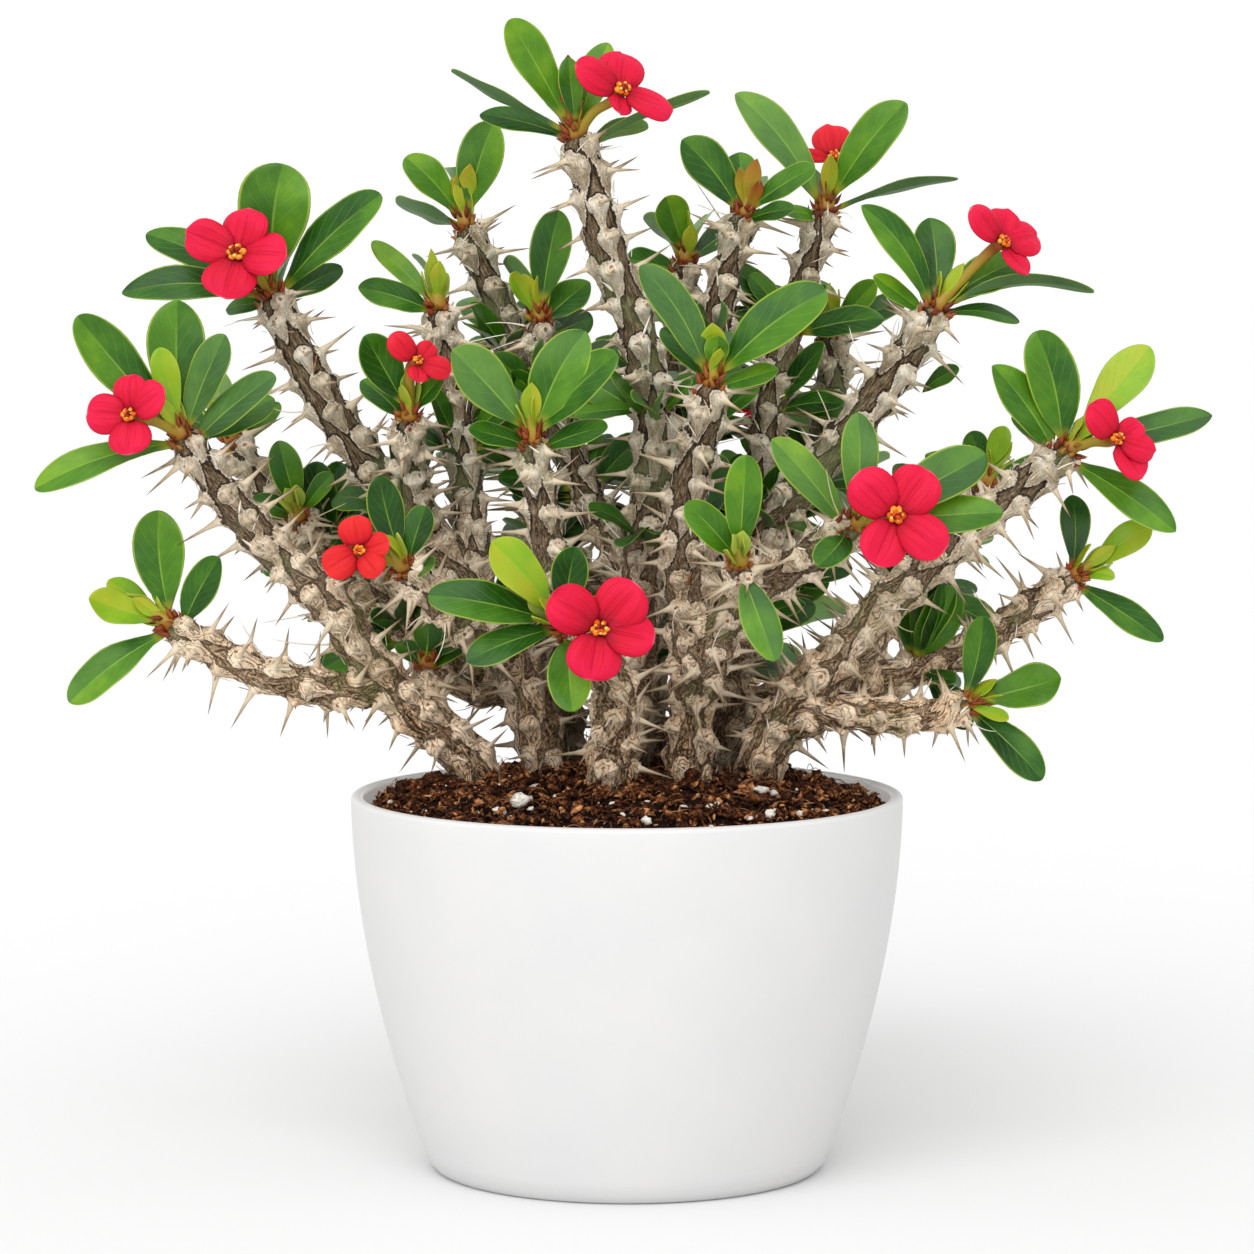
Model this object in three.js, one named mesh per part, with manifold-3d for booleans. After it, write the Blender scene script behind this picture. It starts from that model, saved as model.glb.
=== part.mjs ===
// A crown of thorns (Euphorbia milii) in a round white planter, in millimetres, +Z up.
// The origin is the centre of the planter's flat base. +X is to the right and +Y to the back of the plant.
// Ten thorny woody stems stand in plain holes in the soil. Each shoot ends in a rosette of leaves,
// and a bloom of four red bracts sits round the top of its own stalk.
import * as THREE from "three";
import { mergeVertices } from "three/addons/utils/BufferGeometryUtils.js";
import Module from "manifold-3d";

const wasm = await Module();
wasm.setup();

// Driving dimensions
const gap = 0.35; // clear space between neighbouring pieces

const pot = {
  height: 123,
  rimRadius: 90,
  baseRadius: 64.5,
  bulge: 1.83, // how early the side swells: 1 is a straight cone
  wall: 4,
  floor: 6,
  corner: 3,
  segments: 24,
  sideHeights: [18, 48, 88],
  drainHoles: 4,
  drainRadius: 4,
  drainCircle: 34,
};

const soil = { edgeZ: 118, moundZ: 127.5, relief: 1.2, topRings: 3 };

const wood = { sides: 6, ringStep: 16, soilClear: 6 };

const spine = { length: 16, lengthVary: 2.5, cushionHeight: 2.6, cushionShare: 0.2, lean: 0.3, lift: 0.15 };

const rosette = { below: 8, above: 3, budLength: 14, baseRadius: 5.2, topRadius: 2.4, budRadius: 1.9 };

const leaf = {
  thickness: 1.3,
  petioleWidth: 2.6,
  widthShare: 0.42,
  lift: 0.1,
  stations: [0, 0.58, 0.87, 1],
  widths: [0, 1.04, 0.88, 0],
};

const bloom = {
  holeWidth: 3.8,
  heartWidth: 6.4,
  heartHeight: 2,
  thickness: 1.4,
  cup: 0.16,
  stations: [0, 0.38, 0.72, 1],
  widths: [0.34, 0.86, 1, 0],
};

const stalk = { sides: 5, radius: 1.45, headRadius: 2.8, headFoot: 0.7, headHeight: 2.2, neck: 6 };

const green = new THREE.MeshStandardMaterial({ color: 0x3f7f2a, roughness: 0.45 });
const red = new THREE.MeshStandardMaterial({ color: 0xd0183a, roughness: 0.6 });
const bark = new THREE.MeshStandardMaterial({ color: 0x8f8474, roughness: 0.85 });
const earth = new THREE.MeshStandardMaterial({ color: 0x3a2316, roughness: 0.95 });
const white = new THREE.MeshStandardMaterial({ color: 0xededec, roughness: 0.35 });

// The ways that the upper faces of leaves look
const front = [0, -0.8, 0.6];
const sky = [0, -0.1, 1];
const rear = [0, 0.75, 0.65];

// The woody stems. Each has its main path from below the soil to its top shoot, and side branches.
// A shoot's leaves are [x, y, z, width]: where the leaf's tip is from the shoot's tip, and how wide it is.
// Its flower is { at, facing, petal, turn }: the bloom's centre from the shoot's tip, where it looks,
// the length of a bract, and how far the bloom is turned.
const stems = [
  {
    name: "stem_left",
    branches: [
      {
        shoot: "left",
        path: [[-44, 10, 104], [-47, 10, 122], [-56, 6, 138], [-74, 0, 154], [-86, -6, 171],
          [-97, -12, 187], [-116, -17, 206], [-132.5, -22, 227], [-142.5, -24, 242]],
        radii: [10, 5.6],
        leaves: [[-32, -6, 37, 16], [-1, 4, 42, 19], [-6, -4, 27, 9], [15, -4, 31, 13], [31, -6, 18, 14],
          [29, 14, 10, 12], [-46, -6, -18, 13], [-12, 32, 14, 14]],
        flower: { at: [-14.5, -14, 6], facing: [-0.35, -0.9, 0.25], petal: 13.5, turn: 20 },
      },
      {
        shoot: "left_spur",
        path: [[-70, 2, 149], [-67, 5, 157], [-65, 7, 165]],
        radii: [4.8, 4],
        leaves: [[0, -4, 15, 10], [10, 3, 9, 8], [-10, 10, 6, 8]],
      },
      {
        shoot: "low_left",
        path: [[-76, -1, 157], [-97, -7, 158], [-117, -11, 163], [-134, -13, 171], [-148.5, -15, 180.5]],
        radii: [7, 5.2],
        leaves: [[-31, -4, -26, 14], [-2, -2, 36, 17], [18, -6, 21, 12], [-24, -8, 8, 12], [-19, 4, 13, 9],
          [-14, 28, 2, 13]],
      },
    ],
  },
  {
    name: "stem_upper_left",
    branches: [
      {
        shoot: "upper_left",
        path: [[-22, 20, 104], [-26, 21, 124], [-32, 21, 149.5], [-42, 21, 174.5], [-59, 21, 199.5],
          [-75, 20, 217.5], [-93.5, 18, 241], [-107.5, 18, 266], [-117, 18, 286.5]],
        radii: [9.5, 5.8],
        leaves: [[5, -6, 41, 24], [37, -4, 31, 17], [23, 14, 7, 10], [-41, 6, 18, 14], [-48, -4, -1, 13],
          [-15, 8, -7, 8], [8, 34, 20, 15]],
        flower: { at: [-9, -16, 12], facing: [-0.25, -0.9, 0.35], petal: 17.5, turn: 10 },
      },
      {
        shoot: "mid_left",
        path: [[-50, 21, 187.5], [-52, 27, 213.5], [-56, 30, 240.5], [-60, 32, 262.5], [-62.5, 30, 282]],
        radii: [6.5, 5],
        leaves: [[-26, -4, 5, 12], [-22, 6, 20, 8], [-8, 26, 14, 12]],
      },
      {
        shoot: "small_red",
        path: [[-66, 18, 208], [-69.5, 6, 223], [-70.5, -5, 236], [-70, -10, 247.5]],
        radii: [5.8, 4.6],
        leaves: [[-14, -8, 25, 14], [11, -6, 12, 8], [-16, 8, 10, 10]],
        flower: { at: [3, -12, 17], facing: [0.4, -0.8, 0.45], petal: 10, turn: 40 },
      },
      {
        shoot: "low_mid_left",
        path: [[-38, 20, 165.5], [-48, 2, 173], [-60, -17, 185.5], [-72, -30, 200.5]],
        radii: [6.2, 4.8],
        leaves: [[-7, 0, 28, 12], [8, 2, 18, 10], [11, -6, 0, 8]],
        flower: { at: [-12.5, -13, 5], facing: [-0.1, -0.97, 0.15], petal: 10.5, turn: 0 },
      },
    ],
  },
  {
    name: "stem_centre",
    branches: [
      {
        shoot: "crown",
        path: [[-3, 15, 104], [-3, 15, 124], [0, 15, 147.5], [4, 15, 182.5], [8, 12, 222], [9, 10, 248],
          [4, 9, 271], [-6, 7, 297.5], [-12, 6, 321], [-17, 6, 337.5]],
        radii: [9.5, 6],
        leaves: [[-21, -6, 36, 14], [-40, 2, 20, 11, sky], [-31, 12, 6, 9], [-2, -5, 24, 8], [11, 6, 29, 12],
          [44, 6, 13, 11, sky], [24, 18, 2, 10], [-8, 32, 14, 13]],
        flower: { at: [15, -14, 13], facing: [0.45, -0.75, 0.5], petal: 15.5, turn: 15 },
      },
      {
        shoot: "centre_left",
        path: [[1, 15, 156.5], [-10, 0, 168], [-19, -16, 184.5], [-25, -27, 205], [-28, -33, 226],
          [-30, -37, 241.5]],
        radii: [6.5, 5.2],
        leaves: [[-25, -10, 27, 18], [17, -4, 33, 17], [27, -12, 26, 15], [24, -6, 3, 10], [-20, -4, 2, 9],
          [-6, 26, 14, 12]],
      },
      {
        shoot: "behind_crown",
        path: [[4, 15, 190], [-6, 27, 205.5], [-17, 38, 225.5], [-26, 43, 252], [-29.5, 43, 277.5]],
        radii: [6, 4.8],
        leaves: [[7, -4, 35, 14], [17, 6, 11, 13], [-9, -8, 14, 7], [-12, 20, 18, 12]],
      },
    ],
  },
  {
    name: "stem_right_middle",
    branches: [
      {
        shoot: "right_middle",
        path: [[19, 7, 104], [20, 6, 124], [21, 2, 152], [20, -5, 179], [18, -12, 201], [20, -20, 225],
          [25, -27, 245], [27, -30, 259]],
        radii: [9.5, 5.6],
        leaves: [[-23, -8, 36, 13], [36, -8, 28, 19], [21, -4, 3, 9], [2, -6, 14, 8], [-16, 8, 16, 10],
          [4, 28, 14, 13]],
      },
      {
        shoot: "front_right",
        path: [[21, 2, 153], [25, -15, 166.5], [31, -29, 179.5], [42, -43, 193.5], [58.5, -56, 205],
          [72.5, -68, 216]],
        radii: [8, 5.8],
        leaves: [[-28, -6, 26, 14], [-1, 4, 34, 12], [39, 2, 21, 16], [44, -2, 3, 14], [-8, 24, 10, 12],
          [-14, -22, -12, 11]],
        flower: { at: [10, -14, 3], facing: [0.05, -0.98, 0.15], petal: 16.5, turn: 45 },
      },
      {
        shoot: "front_right_spur",
        path: [[39, -40, 189.5], [36.5, -52, 196.5], [35, -63, 204]],
        radii: [4.8, 4.2],
        leaves: [[2, -4, 33, 12], [-17, -6, 18, 12], [11, -8, -31, 12]],
      },
      {
        shoot: "upper_middle",
        path: [[20, -1, 171], [24, 17, 200], [24, 32, 229.5], [25, 38, 246.5], [29, 38, 274.5],
          [34, 39, 295], [39, 39, 312.5]],
        radii: [6.5, 5.2],
        leaves: [[-21, -4, 23, 15], [-2, 8, 19, 11], [23, -6, 14, 11], [4, 28, 10, 13], [16, -12, 0, 8]],
      },
    ],
  },
  {
    name: "stem_right",
    branches: [
      {
        shoot: "right",
        path: [[40, 10, 104], [42, 9, 122], [46, 6, 137], [56, 0, 154], [72, -7, 172], [88, -11, 190],
          [107.5, -15, 208], [127, -17, 224], [142.5, -18, 237]],
        radii: [10, 5.8],
        leaves: [[-26, -4, 26, 14], [-12, -2, 37, 17], [25, 2, 32, 15], [45, 0, 10, 11], [33, -6, -27, 13],
          [-18, 14, 9, 7], [8, 32, 6, 13]],
        flower: { at: [13, -12, 3], facing: [0.4, -0.85, 0.2], petal: 13.5, turn: 25 },
      },
      {
        shoot: "low_right",
        path: [[58, -1, 155], [76, 5, 157], [95, 7, 163], [115.5, 6, 172], [131.5, 4, 183], [147, 0, 195]],
        radii: [7.2, 5.2],
        leaves: [[23, -4, 16, 11], [27, -4, -22, 12], [-2, 6, 25, 10], [11, -6, -1, 5], [12, 26, 2, 12]],
      },
      {
        shoot: "lowest_right",
        path: [[50, 4, 144], [66, -7, 150], [82.5, -12, 149.5], [99.5, -12, 150], [112, -10, 154]],
        radii: [6.6, 5],
        leaves: [[3, -2, 28, 11], [28, -6, 8, 16], [22, -6, -25, 13], [11, -8, -5, 5], [12, 24, 4, 12]],
      },
    ],
  },
  {
    name: "stem_front",
    branches: [
      {
        shoot: "front",
        path: [[-6, -15, 104], [-5, -17, 120], [-5, -22, 140.5], [-3.5, -33, 158], [-9.5, -46, 174],
          [-21, -57, 184]],
        radii: [11, 5.4],
        leaves: [[-41, -8, 9, 14], [-21, -10, 26, 16], [5, -4, 24, 12], [-29, -6, -12, 12], [4, -12, -27, 14]],
        flower: { at: [12.5, -22, 0], facing: [0.1, -0.98, 0.1], petal: 16.5, turn: 40 },
      },
    ],
  },
  {
    name: "stem_upper_right",
    branches: [
      {
        shoot: "upper_right",
        path: [[30, 34, 104], [31, 35, 124], [33, 34, 149.5], [37, 30, 185.5], [48, 24, 209.5],
          [64, 20, 229], [78, 16, 246.5], [91, 13, 264.5], [102, 12, 282]],
        radii: [9.5, 5.8],
        leaves: [[-26, -6, 32, 13], [-3, 8, 28, 14], [27, 10, 14, 15], [50, -4, 4, 10, sky], [27, 12, -6, 7],
          [-22, -4, 9, 8], [2, 32, 10, 13]],
        flower: { at: [19.5, -8, 20], facing: [0.55, -0.7, 0.45], petal: 13.5, turn: 30 },
      },
      {
        shoot: "top_right",
        path: [[36, 32, 179.5], [40, 44, 205.5], [48.5, 52, 246.5], [55.5, 56, 277.5], [62.5, 57, 299.5],
          [67, 59, 314]],
        radii: [6.5, 5],
        leaves: [[-31, -8, 37, 16], [26, -10, 34, 17], [44, -2, 9, 9, sky], [-14, -10, -3, 8], [-6, 30, 14, 13]],
        flower: { at: [3, 12, 16], facing: [0, -0.75, 0.65], petal: 13, turn: 45 },
      },
    ],
  },
  {
    name: "stem_back_left",
    branches: [
      {
        shoot: "top_left",
        path: [[-20, 46, 104], [-21, 48, 124], [-24, 54, 164], [-28, 61, 199], [-34.5, 65, 234.5],
          [-39.5, 65, 268.5], [-48.5, 63, 292], [-54.5, 63, 309]],
        radii: [9, 5.2],
        leaves: [[-20, -4, 21, 13], [10, -4, 33, 16], [-4, 26, 18, 13, rear], [-24, 18, 6, 12, rear]],
      },
      {
        shoot: "back_left",
        path: [[-22, 51, 153], [-53.5, 55, 153], [-80.5, 56, 177], [-104.5, 56, 199.5], [-122, 54, 219.5], [-133, 51, 237.5]],
        radii: [6.8, 5],
        leaves: [[9, 2, 14, 8], [16, 10, 10, 9], [-8, 16, 22, 11, rear], [-22, 10, 6, 11], [2, 28, 6, 13, rear]],
      },
      {
        shoot: "back_left_spur",
        path: [[-104.5, 56, 198.5], [-107.5, 44, 206], [-109.5, 34, 212.5]],
        radii: [4.8, 4.2],
        leaves: [[-6, -4, 24, 11], [12, -4, 13, 8], [-16, 4, 4, 9]],
      },
      {
        shoot: "rear_left",
        path: [[-22, 52, 147], [-42.5, 76, 154.5], [-64.5, 95, 167.5], [-83, 107, 185.5]],
        radii: [6.8, 5],
        whorl: { count: 6, length: 34, spread: 62, turn: 20 },
      },
    ],
  },
  {
    name: "stem_back",
    branches: [
      {
        shoot: "behind_middle",
        path: [[6, 44, 104], [6, 46, 124], [7, 54, 159], [10, 63, 199], [14, 70, 239.5], [18, 71, 274.5], [20, 70, 297]],
        radii: [9, 5.2],
        leaves: [[-7, -4, 20, 13], [-20, -6, -1, 11], [8, 28, 14, 14, rear], [22, 12, 12, 11], [-14, 22, 12, 12, rear]],
      },
      {
        shoot: "rear_middle",
        path: [[7, 56, 164], [-8, 81, 178.5], [-24.5, 105, 198.5], [-36.5, 122, 225]],
        radii: [6.8, 5.2],
        whorl: { count: 6, length: 36, spread: 58, turn: 50 },
        flower: { at: [4, 18, 26], facing: [0.1, 0.75, 0.6], petal: 14, turn: 20 },
      },
      {
        shoot: "rear_low",
        path: [[6, 54, 147], [2, 83, 148.5], [-2, 112, 154], [-6, 137, 168]],
        radii: [6.6, 5],
        whorl: { count: 5, length: 33, spread: 60, turn: 10 },
      },
    ],
  },
  {
    name: "stem_back_right",
    branches: [
      {
        shoot: "behind_right",
        path: [[24, 63, 104], [26, 67, 124], [34.5, 73, 158.5], [46.5, 77, 194], [60.5, 77, 218], [69.5, 76, 246.5], [69.5, 74, 272.5]],
        radii: [9, 5.2],
        leaves: [[15, -4, 16, 10], [26, 6, 10, 10], [-4, 28, 16, 13, rear], [-14, 10, 14, 10], [18, 22, 6, 12, rear]],
      },
      {
        shoot: "far_right",
        path: [[30.5, 70, 140.5], [50.5, 68, 146.5], [71.5, 61, 156], [91.5, 56, 179], [108.5, 52, 205.5], [120.5, 51, 222.5]],
        radii: [6.8, 5],
        leaves: [[-5, 2, 16, 9], [6, -4, 18, 8], [-20, 6, 8, 10], [26, 12, 4, 11], [6, 28, 6, 13, rear]],
      },
      {
        shoot: "rear_right",
        path: [[40.5, 74, 177], [47.5, 98, 188.5], [56, 120, 202.5], [61, 137, 218.5]],
        radii: [6.4, 5],
        whorl: { count: 6, length: 34, spread: 60, turn: 35 },
        flower: { at: [-12, 16, 26], facing: [-0.2, 0.75, 0.6], petal: 13.5, turn: 0 },
      },
      {
        shoot: "rear_right_low",
        path: [[27, 71, 136.5], [34.5, 98, 142], [42.5, 122, 151], [46.5, 142, 162.5]],
        radii: [6.4, 4.8],
        whorl: { count: 5, length: 32, spread: 62, turn: 0 },
        flower: { at: [14, 14, 20], facing: [0.35, 0.7, 0.55], petal: 12.5, turn: 30 },
      },
      {
        shoot: "rear_far_right",
        path: [[52.5, 68, 147.5], [70.5, 85, 158.5], [87, 99, 174.5], [98, 107, 191.5]],
        radii: [6.2, 4.8],
        whorl: { count: 5, length: 34, spread: 58, turn: 70 },
      },
    ],
  },
];

const vec = (p) => new THREE.Vector3(...p);
const radians = THREE.MathUtils.degToRad;
const goldenAngle = radians(137.5);
const upwards = vec([0, 0, 1]);
const grain = vec([0.9, 0.35, 0.2]); // the corner of a stem's section looks this way

// Turning a closed three.js geometry into a solid that can be joined or cut, and a solid into a mesh.
function solidOf(geometry) {
  const bare = new THREE.BufferGeometry().setAttribute("position", geometry.getAttribute("position"));
  if (geometry.index) bare.setIndex(geometry.index);
  const merged = mergeVertices(bare, 1e-4);
  const index = merged.index.array;
  const kept = [];
  for (let i = 0; i < index.length; i += 3) {
    const [a, b, c] = index.slice(i, i + 3);
    if (a !== b && b !== c && a !== c) kept.push(a, b, c);
  }
  return new wasm.Manifold(
    new wasm.Mesh({
      numProp: 3,
      vertProperties: new Float32Array(merged.getAttribute("position").array),
      triVerts: new Uint32Array(kept),
    }),
  );
}

function meshOf(name, solid, material) {
  const { vertProperties, triVerts } = solid.getMesh();
  const geometry = new THREE.BufferGeometry()
    .setAttribute("position", new THREE.BufferAttribute(new Float32Array(vertProperties), 3))
    .setIndex(new THREE.BufferAttribute(new Uint32Array(triVerts), 1));
  geometry.computeVertexNormals();
  const mesh = new THREE.Mesh(geometry, material);
  mesh.name = name;
  return mesh;
}

const join = (solids) => solids.reduce((all, one) => all.add(one));

// A frame across a direction: `up` is turned to stand square on it, and `across` completes the frame.
function frameAcross(along, wanted) {
  const up = wanted.clone().addScaledVector(along, -wanted.dot(along));
  if (up.lengthSq() < 1e-6) up.set(along.z, along.x, along.y).cross(along);
  up.normalize();
  return { across: along.clone().cross(up).normalize(), up };
}

// A closed bar of flat sides along a curve, with a ring at each of the curve's parameters in `stations`.
// size(i) gives ring i's half width and half thickness, and `wanted` is the way its thickness looks.
function sweep(curve, sides, stations, size, wanted) {
  const steps = stations.length - 1;
  const geometry = new THREE.CylinderGeometry(1, 1, 1, sides, steps);
  const position = geometry.getAttribute("position");
  for (let i = 0; i < position.count; i++) {
    const ring = Math.round((position.getY(i) + 0.5) * steps);
    const t = stations[ring];
    const { across, up } = frameAcross(curve.getTangent(t), wanted);
    const [width, thickness] = size(ring);
    const place = curve
      .getPoint(t)
      .addScaledVector(across, position.getX(i) * width)
      .addScaledVector(up, position.getZ(i) * thickness);
    position.setXYZ(i, place.x, place.y, place.z);
  }
  return geometry;
}

// A round bar from one point to another, narrowing from one radius to the other.
function bar(from, to, fromRadius, toRadius) {
  const size = (ring) => Array(2).fill(ring ? toRadius : fromRadius);
  return solidOf(sweep(new THREE.LineCurve3(from, to), wood.sides, [0, 1], size, grain));
}

// The planter: a turned shell with a rounded lip, and drain holes in its floor.
function outerRadius(z) {
  return pot.rimRadius - (pot.rimRadius - pot.baseRadius) * (1 - z / pot.height) ** pot.bulge;
}

const innerRadius = (z) => outerRadius(z) - pot.wall;

function turned(profile) {
  const points = profile.map(([radius, z]) => new THREE.Vector2(radius, z));
  const geometry = new THREE.LatheGeometry(points, pot.segments);
  geometry.rotateX(Math.PI / 2);
  return geometry;
}

function makePot() {
  const { height, baseRadius, wall, floor, corner, sideHeights } = pot;
  const shoulder = height - wall / 2;
  const profile = [
    [0, 0],
    [baseRadius - corner * 0.7, 0],
    ...[corner, ...sideHeights, shoulder].map((z) => [outerRadius(z), z]),
    [outerRadius(height) - wall * 0.25, height],
    [outerRadius(height) - wall * 0.75, height],
    ...[shoulder, ...sideHeights.toReversed()].map((z) => [innerRadius(z), z]),
    [innerRadius(floor) - corner, floor],
    [0, floor],
  ];
  let solid = solidOf(turned(profile));
  for (let i = 0; i < pot.drainHoles; i++) {
    const angle = (i + 0.5) * ((2 * Math.PI) / pot.drainHoles);
    const hole = new THREE.CylinderGeometry(pot.drainRadius, pot.drainRadius, floor * 3, 8);
    hole.rotateX(Math.PI / 2);
    hole.translate(Math.cos(angle) * pot.drainCircle, Math.sin(angle) * pot.drainCircle, floor / 2);
    solid = solid.subtract(solidOf(hole));
  }
  return solid;
}

// The soil fills the planter nearly to the rim, is heaped in the middle and crumbly on top.
function soilHeight(x, y) {
  const share = Math.min(1, Math.hypot(x, y) / innerRadius(soil.edgeZ));
  const heap = soil.edgeZ + (soil.moundZ - soil.edgeZ) * (1 - share ** 2.2);
  const crumbs = Math.sin(x * 0.31 + 1.3) * Math.cos(y * 0.27) + 0.6 * Math.sin(x * 0.13 - y * 0.37);
  return heap + soil.relief * crumbs * (1 - share ** 6);
}

function makeSoil() {
  const bottom = pot.floor + gap;
  const edge = innerRadius(soil.edgeZ) - gap;
  const profile = [
    [0, bottom],
    [innerRadius(pot.floor) - pot.corner - gap * 2, bottom],
    ...pot.sideHeights.map((z) => [innerRadius(z) - gap, z]),
    [edge, soil.edgeZ],
  ];
  for (let i = 1; i <= soil.topRings; i++) profile.push([edge * (1 - i / soil.topRings), soil.edgeZ]);
  const geometry = turned(profile);
  const position = geometry.getAttribute("position");
  for (let i = 0; i < position.count; i++) {
    const [x, y, z] = [position.getX(i), position.getY(i), position.getZ(i)];
    if (z > soil.edgeZ - 1e-3) position.setZ(i, soilHeight(x, y));
  }
  return solidOf(geometry);
}

// A woody branch: a six-sided bar that tapers along its path and ends below the green of its shoot.
const curveOf = (branch) => new THREE.CatmullRomCurve3(branch.path.map(vec), false, "catmullrom", 0.5);

function branchShape(branch) {
  const curve = curveOf(branch);
  const share = 1 - rosette.below / curve.getLength();
  const steps = Math.max(2, Math.round((curve.getLength() * share) / wood.ringStep));
  const stations = Array.from({ length: steps + 1 }, (_, i) => curve.getUtoTmapping((share * i) / steps));
  const [from, to] = branch.radii;
  const radius = (ring) => from + (to - from) * Math.sqrt(ring / steps);
  return { curve, steps, stations, radius };
}

function plainBranch(branch, extra = 0) {
  const { curve, stations, radius } = branchShape(branch);
  return sweep(curve, wood.sides, stations, (ring) => Array(2).fill(radius(ring) + extra), grain);
}

// Where the spines of a branch stand: one side of each ring of sides, and the next by the golden angle.
// A sweep's sides are listed side by side, and each of them from the branch's end down to its foot.
function spinePlaces(branch, position) {
  const { curve, steps, stations } = branchShape(branch);
  const corner = (row, side) => new THREE.Vector3().fromArray(position, 3 * (row * (wood.sides + 1) + side));
  return Array.from({ length: steps }, (_, row) => {
    const side = Math.round((row * goldenAngle * wood.sides) / (2 * Math.PI)) % wood.sides;
    const corners = [corner(row, side), corner(row + 1, side), corner(row + 1, side + 1), corner(row, side + 1)];
    const centre = corners.reduce((sum, c) => sum.add(c), new THREE.Vector3()).divideScalar(4);
    const middle = (stations[steps - row] + stations[steps - row - 1]) / 2;
    const along = curve.getTangent(middle);
    const out = centre.clone().sub(curve.getPoint(middle)).normalize();
    const way = out
      .clone()
      .addScaledVector(along, spine.lift)
      .addScaledVector(along.clone().cross(out), spine.lean * Math.sin(row * 2.4))
      .normalize();
    const length = spine.length + spine.lengthVary * Math.sin(row * 1.7);
    return { quad: (side * steps + row) * 6, corners, centre, way, length };
  });
}

// The branch with its spines raised from its sides: a low cushion first, and then the long point.
function thornyBranch(branch, isClear) {
  const geometry = plainBranch(branch);
  const position = Array.from(geometry.getAttribute("position").array);
  const index = Array.from(geometry.index.array);
  for (const { quad, corners, centre, way, length } of spinePlaces(branch, position)) {
    if (!isClear(branch, centre, way, length)) continue;
    const added = position.length / 3;
    for (const corner of corners) {
      const across = corner.clone().sub(centre).multiplyScalar(spine.cushionShare);
      position.push(...centre.clone().addScaledVector(way, spine.cushionHeight).add(across));
    }
    position.push(...centre.clone().addScaledVector(way, length));
    const foot = [index[quad], index[quad + 1], index[quad + 4], index[quad + 2]];
    index.fill(0, quad, quad + 6);
    for (let i = 0; i < 4; i++) {
      const j = (i + 1) % 4;
      index.push(foot[i], foot[j], added + j, foot[i], added + j, added + i);
      index.push(added + i, added + j, added + 4);
    }
  }
  const raised = new THREE.BufferGeometry().setAttribute(
    "position",
    new THREE.BufferAttribute(new Float32Array(position), 3),
  );
  return solidOf(raised.setIndex(index));
}

// A leaf: an arched blade, flat above and keeled below, broadest past the middle and blunt at its tip.
function makeLeaf(foot, tip, axis, width, facing) {
  const span = tip.clone().sub(foot);
  const middle = foot.clone().addScaledVector(span, 0.45).addScaledVector(axis, span.length() * leaf.lift);
  const curve = new THREE.QuadraticBezierCurve3(foot, middle, tip);
  const last = leaf.stations.length - 1;
  const size = (ring) => {
    if (ring === last) return [0, 0];
    return [Math.max(leaf.petioleWidth, leaf.widths[ring] * width) / Math.sqrt(3), leaf.thickness / 1.5];
  };
  return solidOf(sweep(curve, 3, leaf.stations, size, facing.clone().negate()));
}

// Where a leaf stands on its shoot: upright leaves near the tip, spreading ones lower down.
function leafFoot(tip, axis, offset) {
  const upright = Math.max(0, offset.clone().normalize().dot(axis));
  const out = offset.clone().addScaledVector(axis, -offset.dot(axis)).normalize();
  return tip
    .clone()
    .addScaledVector(axis, 2.2 - rosette.below + upright * (rosette.below + 0.5))
    .addScaledVector(out, rosette.topRadius * 0.6);
}

// A ring of like leaves round a shoot, as offsets of their tips.
function whorlOffsets({ count, length, spread, turn }, axis) {
  const { across, up } = frameAcross(axis, upwards);
  return Array.from({ length: count }, (_, i) => {
    const angle = radians(turn) + (i * 2 * Math.PI) / count;
    const tilt = radians(spread + 8 * Math.sin(i * 2.1));
    const size = length * (1 + 0.1 * Math.cos(i * 1.3));
    return axis
      .clone()
      .multiplyScalar(Math.cos(tilt) * size)
      .addScaledVector(across, Math.sin(tilt) * Math.cos(angle) * size)
      .addScaledVector(up, Math.sin(tilt) * Math.sin(angle) * size);
  });
}

function leafList(branch, axis) {
  const listed = (branch.leaves ?? []).map(([x, y, z, width, facing]) => ({
    offset: vec([x, y, z]),
    width,
    facing: vec(facing ?? (y > 15 ? rear : front)),
  }));
  const ringed = (branch.whorl ? whorlOffsets(branch.whorl, axis) : []).map((offset) => ({
    offset,
    width: offset.length() * leaf.widthShare,
    facing: axis.clone().addScaledVector(upwards, 0.4),
  }));
  return [...listed, ...ringed];
}

// The stalk of a flower stands through the ring of its bracts and ends in a small cup above them.
function makeStalk(tip, axis, flower) {
  const facing = vec(flower.facing).normalize();
  const centre = tip.clone().add(vec(flower.at));
  const onAxis = (height) => centre.clone().addScaledVector(facing, height);
  const from = tip.clone().addScaledVector(axis, -2);
  const rise = from.clone().lerp(onAxis(-stalk.neck), 0.5).addScaledVector(axis, 2);
  const collar = bloom.heartHeight / 2 + gap;
  const cup = collar + stalk.headFoot;
  const heights = [-stalk.neck, collar, cup, cup + stalk.headHeight];
  const radii = [1, 1, 1, 1, stalk.headRadius / stalk.radius, stalk.headRadius / stalk.radius];
  const curve = new THREE.CatmullRomCurve3([from, rise, ...heights.map(onAxis)]);
  const stations = radii.map((_, i) => i / (radii.length - 1));
  return solidOf(sweep(curve, stalk.sides, stations, (i) => Array(2).fill(radii[i] * stalk.radius), grain));
}

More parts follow.
